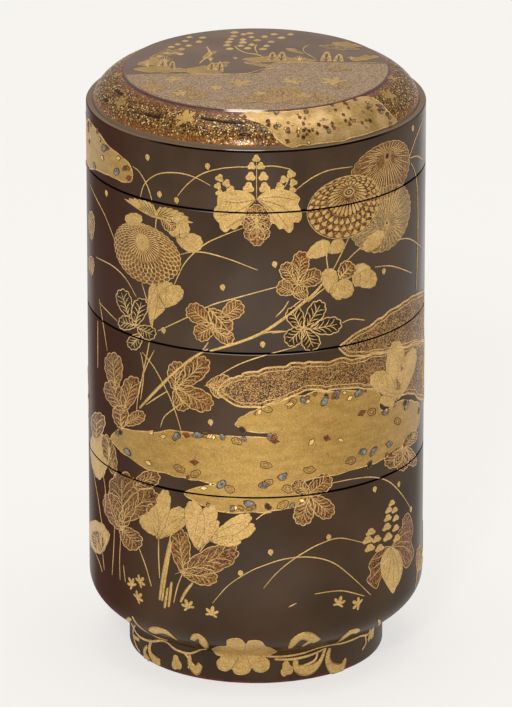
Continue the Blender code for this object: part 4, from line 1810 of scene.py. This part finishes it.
# %% Landscape on the lid
# Banks, clouds and mist: both ends, thickness, finish and hump.
BANK_STRIPS = (
    ((134, 69), (192, 71), 5, "bank", 0.3), ((184, 71), (224, 72), 6, "bank", 0.2),
    ((243, 60), (318, 61), 4.5, "bank", 0.3), ((352, 60), (379, 56), 3.5, "bank", 0.2),
    ((138, 64), (170, 61), 5, "bank", 0.3), ((150, 58), (184, 50), 5, "dull", 0.3),
    ((205, 68), (228, 66), 4, "dull", 0.2), ((244, 63), (272, 67), 3, "dull", 0.2),
    ((319, 46), (360, 49), 3.5, "dull", 0.3), ((332, 43), (363, 46), 3, "bank", 0.3),
    ((286, 49), (304, 54), 2.5, "bank", 0.3), ((223, 63), (231, 63.5), 1.6, "bank", 0),
    ((328, 69), (352, 69), 4, "mist", 0.2), ((140, 86), (166, 88), 8, "mist", 0.2),
    ((172, 92), (210, 96), 9, "mist", 0.3), ((248, 97), (338, 98), 12, "mist", 0.2),
    ((262, 90), (288, 89), 3, "mist", 0.2), ((330, 84), (352, 86), 6, "mist", 0.2),
    ((222, 100), (262, 101), 4, "mist", 0.1),
)
# The middle, the size in millimetres and the turn.
DRIFTING_LEAVES = (
    (176, 80, 4.2, 1.9), (238, 84, 5.4, 0.6), (292, 82.5, 4.8, 1.2), (336, 82, 6.0, 2.4),
    (183, 93, 3.8, 2.9), (304, 96, 4.0, 1.5), (215, 88, 3.0, 0.4), (262, 94, 3.2, 2.0),
)
PINE_NEEDLES = (
    (235, 32), (244, 34), (250, 33), (274.5, 34), (291, 34), (234, 36), (252, 37), (265, 36.5),
    (282, 37.5), (231, 39), (243.5, 39.5), (257.5, 40.3), (229, 42), (243.5, 42.5), (271.5, 42),
    (227.5, 45.3), (252, 44.8), (241, 46), (267, 46), (230, 49), (248, 48.5), (263.5, 49.3), (203, 37.4),
    (190, 36.8), (199.5, 41.5), (185.5, 40.7), (178, 44), (189, 45.5), (171.7, 46.7), (182, 49),
    (176, 53), (167, 53), (181, 54), (160, 56),
)
# The root, the height, the spread and the number of blades.
REEDS = (
    (165, 65, 9, 9, 7), (300, 62, 6, 6, 5), (352, 60, 4, 5, 5), (148, 67, 7, 8, 6), (236, 60, 3, 4, 4),
    (211, 62, 5, 4, 5),
)
# The left and right end, the foot's row and the height.
MOUNDS = (
    (267, 277, 60.5, 8), (276, 287, 61, 9), (320, 332, 61.5, 10), (333, 344, 61.5, 7.5), (157, 168, 66, 6),
    (168, 176, 69, 8), (207, 216, 70, 7), (215, 224, 71, 9),
)
# Branches, shores and ripples, each with its width in millimetres.
ROUTES = (
    (((235, 46), (239, 50), (247, 53.5), (257, 55), (264, 58)), 0.9),
    (((257, 44.5), (255.5, 49), (258, 54)), 0.7),
    (((200, 64), (204, 60), (211, 55), (209, 50), (207, 46.5)), 1.1),
    (((136, 74.5), (165, 74), (200, 74.5), (236, 74.5), (250, 73.5), (262, 70), (280, 68.5), (296, 71),
      (310, 74)), 0.6),
    (((244, 63), (262, 66), (268, 67)), 0.6),
    (((276, 63), (310, 63), (345, 63), (379, 62)), 0.5),
    (((252, 74.2), (275, 74), (300, 74)), 0.4),
    (((317, 60), (310, 55.6), (304.3, 52), (304.3, 48), (310, 44.5)), 0.6),
)
HERON_WING = ((203, 58), (217, 52), 3.5, "bank", 0.3)

for bank_strip in BANK_STRIPS:
    strip(*bank_strip)
for x, y, size, turn in DRIFTING_LEAVES:
    maple(panel_picture, on_lid((x, y)), size * MM, turn, "gold", "flower")
for x, y in PINE_NEEDLES:
    needles(x, y, chance.uniform(3.2, 4.6), chance.uniform(1.1, 1.5))
for x, y, height, spread, blades in REEDS:
    tuft((x, y), height, spread, blades)
for place in MOUNDS:
    mound(*place)
for route, width in ROUTES:
    panel_picture.line("line", smooth([on_lid(spot) for spot in route]), width * MM, "leaf")
strip(*HERON_WING)

LAYERS = (("fills", cut_fills, panel_picture.fills), ("strokes", brush_lines, panel_picture.lines))
for what, make, marks in LAYERS:
    for finish, shapes in marks.items():
        piece = make(f"lid_panel_{finish}_{what}", shapes)
        lay_on_lid(piece)
        finished(piece, finish)

# %% [markdown]
# The lid's own lacquer differs by place. Its skirt is the brown-black of the tiers, and the
# shoulder is covered with coarse grains, redder towards its lower edge. The panel is thin
# grey-brown lacquer, with fine gold dust over its near half. One material makes all of them,
# and looks at the height and the distance from the axis to know where it is. Painted shade
# runs as a black line under the ledge in front and along the skirt's lower edge, as in the
# seams, and as a dark ring in the corner at the panel's foot. The panel's edge is painted
# darker at its foot as shade and pale pink at its top as a highlight. At the very front,
# painted highlights make pale spots on the edges of the panel and of the ledge.

# %% Lacquer of the lid
SHORE = on_lid((256, 74))
FAR_SHORE = on_lid((276, 63))
COARSE_GRAIN = 0.42 * MM
FINE_GRAIN = 0.3 * MM
# Coarse grains from dark to bright, each with the share of grains that it starts at.
GRAIN_COLOURS = ((0.38, "64401E"), (0.64, "94692C"), (0.94, "EAD394"))
GRAIN_DARK = linear("2A1C10")
LOW_SHOULDER = linear("9A5524")
HIGH_SHOULDER = linear("7A4A34")
SKY = (linear("604E43"), linear("705A4B"))
DUST = (linear("755C48"), linear("AE9270"))
LEDGE_BROWN = linear("6E5A46")
# The panel's edge: its own reddish brown, painted darker at its foot as shade and pale pink at its top as a
# highlight.
PANEL_EDGE_SHADE_TO_HIGHLIGHT = (linear("55302A"), linear("B08C80"))
# Painted shade in the corner at the panel's foot.
RING_SHADE_BROWN = linear("402A24")
# A pale painted highlight.
PAINTED_HIGHLIGHT_PALE = linear("FFF4E4")


def shoulder_grains(paint, z, grain):
    """Coarse grains of several golds, redder low on the shoulder and browner at its top."""
    tone = GRAIN_DARK
    for share, colour in GRAIN_COLOURS:
        tone = paint.mix(grain > share, tone, linear(colour))
    low = z.step(LEDGE_HEIGHT + 5 * MM, LEDGE_HEIGHT + 1 * MM)
    high = z.step(SHOULDER_TOP - 1.6 * MM, SHOULDER_TOP - 0.2 * MM)
    tone = paint.mix(0.35 * low, tone, LOW_SHOULDER)
    return paint.mix(0.55 * high, tone, HIGH_SHOULDER)


def near_water(x, y):
    """1 on the near side of a shore that climbs to the right."""
    shore = SHORE.imag + (FAR_SHORE.imag - SHORE.imag) * x.step(SHORE.real, FAR_SHORE.real)
    return (y - shore).step(0.5 * MM, -0.5 * MM)


def lid_lacquer():
    """The lid's lacquer, put together from its skirt up to its panel."""
    paint = Paint("gold_dusted_lacquer")
    x, y, z = paint.coordinates()
    radius = (x * x + y * y) ** 0.5
    clouds = paint.noise(14 * MM, 3.0)
    grain, fine = paint.flecks(COARSE_GRAIN), paint.flecks(FINE_GRAIN)
    near = near_water(x, y)
    dusted = fine > 0.5

    on_shoulder = z > LEDGE_HEIGHT - 0.05 * MM
    on_grains = z > LEDGE_HEIGHT + 1.3 * MM
    above_grains = z > SHOULDER_TOP + 0.1 * MM
    on_panel = z > SHOULDER_TOP + 0.9 * MM
    panel_edge = above_grains * (1 - on_panel)

    tone = paint.mix(on_shoulder, lacquer_tone(paint, clouds, x), LEDGE_BROWN)
    tone = paint.mix(on_grains, tone, shoulder_grains(paint, z, grain))
    # The panel's edge: painted shade at its foot, and a painted highlight at its top.
    edge = paint.mix(z.step(SHOULDER_TOP + 0.5 * MM, PANEL_TOP), *PANEL_EDGE_SHADE_TO_HIGHLIGHT)
    tone = paint.mix(above_grains, tone, edge)
    panel = paint.mix(near, paint.mix(clouds.step(0.2, 0.8), *SKY), paint.mix(dusted, *DUST))
    tone = paint.mix(on_panel, tone, panel)
    # Painted shade: a dark ring in the corner at the panel's foot.
    ring = radius.between(PANEL_RADIUS - 0.1 * MM, PANEL_RADIUS + 0.9 * MM) * (z < SHOULDER_TOP + 0.3 * MM)
    tone = paint.mix(0.7 * ring * on_grains, tone, RING_SHADE_BROWN)

    # Painted highlights: pale spots at the front of the panel's edge and of the ledge.
    front_highlight_area = x.step(-13 * MM, -9 * MM) * x.step(5 * MM, 1 * MM) * (y < 0.0)
    tone = paint.mix(0.85 * front_highlight_area * panel_edge, tone, PAINTED_HIGHLIGHT_PALE)
    tone = paint.mix(0.45 * front_highlight_area * on_shoulder * (radius > RADIUS - 1.6 * MM), tone, PAINTED_HIGHLIGHT_PALE)
    # Painted shade: black under the ledge in front and along the skirt's lower edge, with no coat.
    at_ledge = z.between(LEDGE_HEIGHT - 0.55 * MM, LEDGE_HEIGHT + 0.1 * MM)
    shade_under_ledge = at_ledge * (radius > RADIUS - 0.8 * MM)
    in_front = x.step(-0.70 * RADIUS, -0.50 * RADIUS) * x.step(0.90 * RADIUS, 0.65 * RADIUS)
    dark = shade_under_ledge * in_front + (z < lid_low.z + 0.45 * MM)
    tone = paint.mix(dark, tone, PAINTED_SHADE_BLACK)

    metal = on_grains * (1 - above_grains) * (0.45 * (grain > 0.56)) + 0.35 * on_panel * near * dusted
    polish = POLISH * (1 - LEFT_SIDE_DULLING * shaded_left_side(x) * (1 - on_shoulder)) * (1 - dark)
    polish = polish + 0.5 * panel_edge + RIM_SHINE * grazed_rims(x) * (1 - on_shoulder)
    roughness = 0.30 + 0.10 * clouds + 0.05 * on_panel - 0.12 * panel_edge
    return paint.finish(
        Base_Color=tone, Metallic=metal, Roughness=roughness,
        Normal=paint.bump(grain * on_grains * (1 - above_grains), 0.05 * MM, 0.6),
        Coat_Weight=polish, Coat_Roughness=0.2, Specular_IOR_Level=0.0,
    )


bodies["lid"].data.materials.clear()
bodies["lid"].data.materials.append(lid_lacquer())
print(f"the shore crosses the panel at y = {SHORE.imag / MM:.1f} mm")

# %% [markdown]
# The room: a floor that fades into the background, an even pale sky, and soft panels of
# light in front and above. A narrow lit card lies on the floor in front, outside the picture.
# The wall mirrors it as the soft upright band of light in the middle of the box.

# %% Floor and light
FLOOR_SIZE = 24.0
FLOOR_GREY = linear("888683")
FLOOR_GLOW = linear("F8F6F3")
SKY_WHITE = linear("FBF9F6")
SKY_STRENGTH = 0.62

deselect_all()
bpy.ops.mesh.primitive_plane_add(size=FLOOR_SIZE)
floor = bpy.context.object
floor.name = "pale_floor"
floor_paint = Paint("pale_paper")
floor.data.materials.append(floor_paint.finish(
    Base_Color=FLOOR_GREY, Roughness=0.9, Specular_IOR_Level=0.1,
    Emission_Color=FLOOR_GLOW, Emission_Strength=0.70,
))

world = bpy.data.worlds.new("pale_room")
world.use_nodes = True
sky = world.node_tree.nodes["Background"]
sky.inputs["Color"].default_value = SKY_WHITE
sky.inputs["Strength"].default_value = SKY_STRENGTH
bpy.context.scene.world = world
bpy.context.scene.view_settings.view_transform = "Standard"


def soft_panel(name, place, size, power):
    """A flat light of the given width and height that faces the middle of the box."""
    data = bpy.data.lights.new(name, "AREA")
    data.shape = "RECTANGLE"
    data.size, data.size_y = size
    data.energy = power
    lamp = bpy.data.objects.new(name, data)
    bpy.context.scene.collection.objects.link(lamp)
    lamp.location = place
    aim = lamp.location.copy()
    aim.z -= AIM_HEIGHT
    lamp.rotation_euler = aim.to_track_quat("Z", "Y").to_euler()
    print(f"{name}: {power} W")
    return lamp


soft_panel("front_panel", (-0.4, -2.2, 1.7), (0.4, 0.4), 24.0)
soft_panel("top_panel", (0.1, 0.2, 2.6), (2.2, 2.2), 32.0)
card = soft_panel("floor_card", (-0.015, -0.58, 0.002), (0.34, 0.84), 0.8)
card.rotation_euler = (math.pi, 0.0, 0.0)
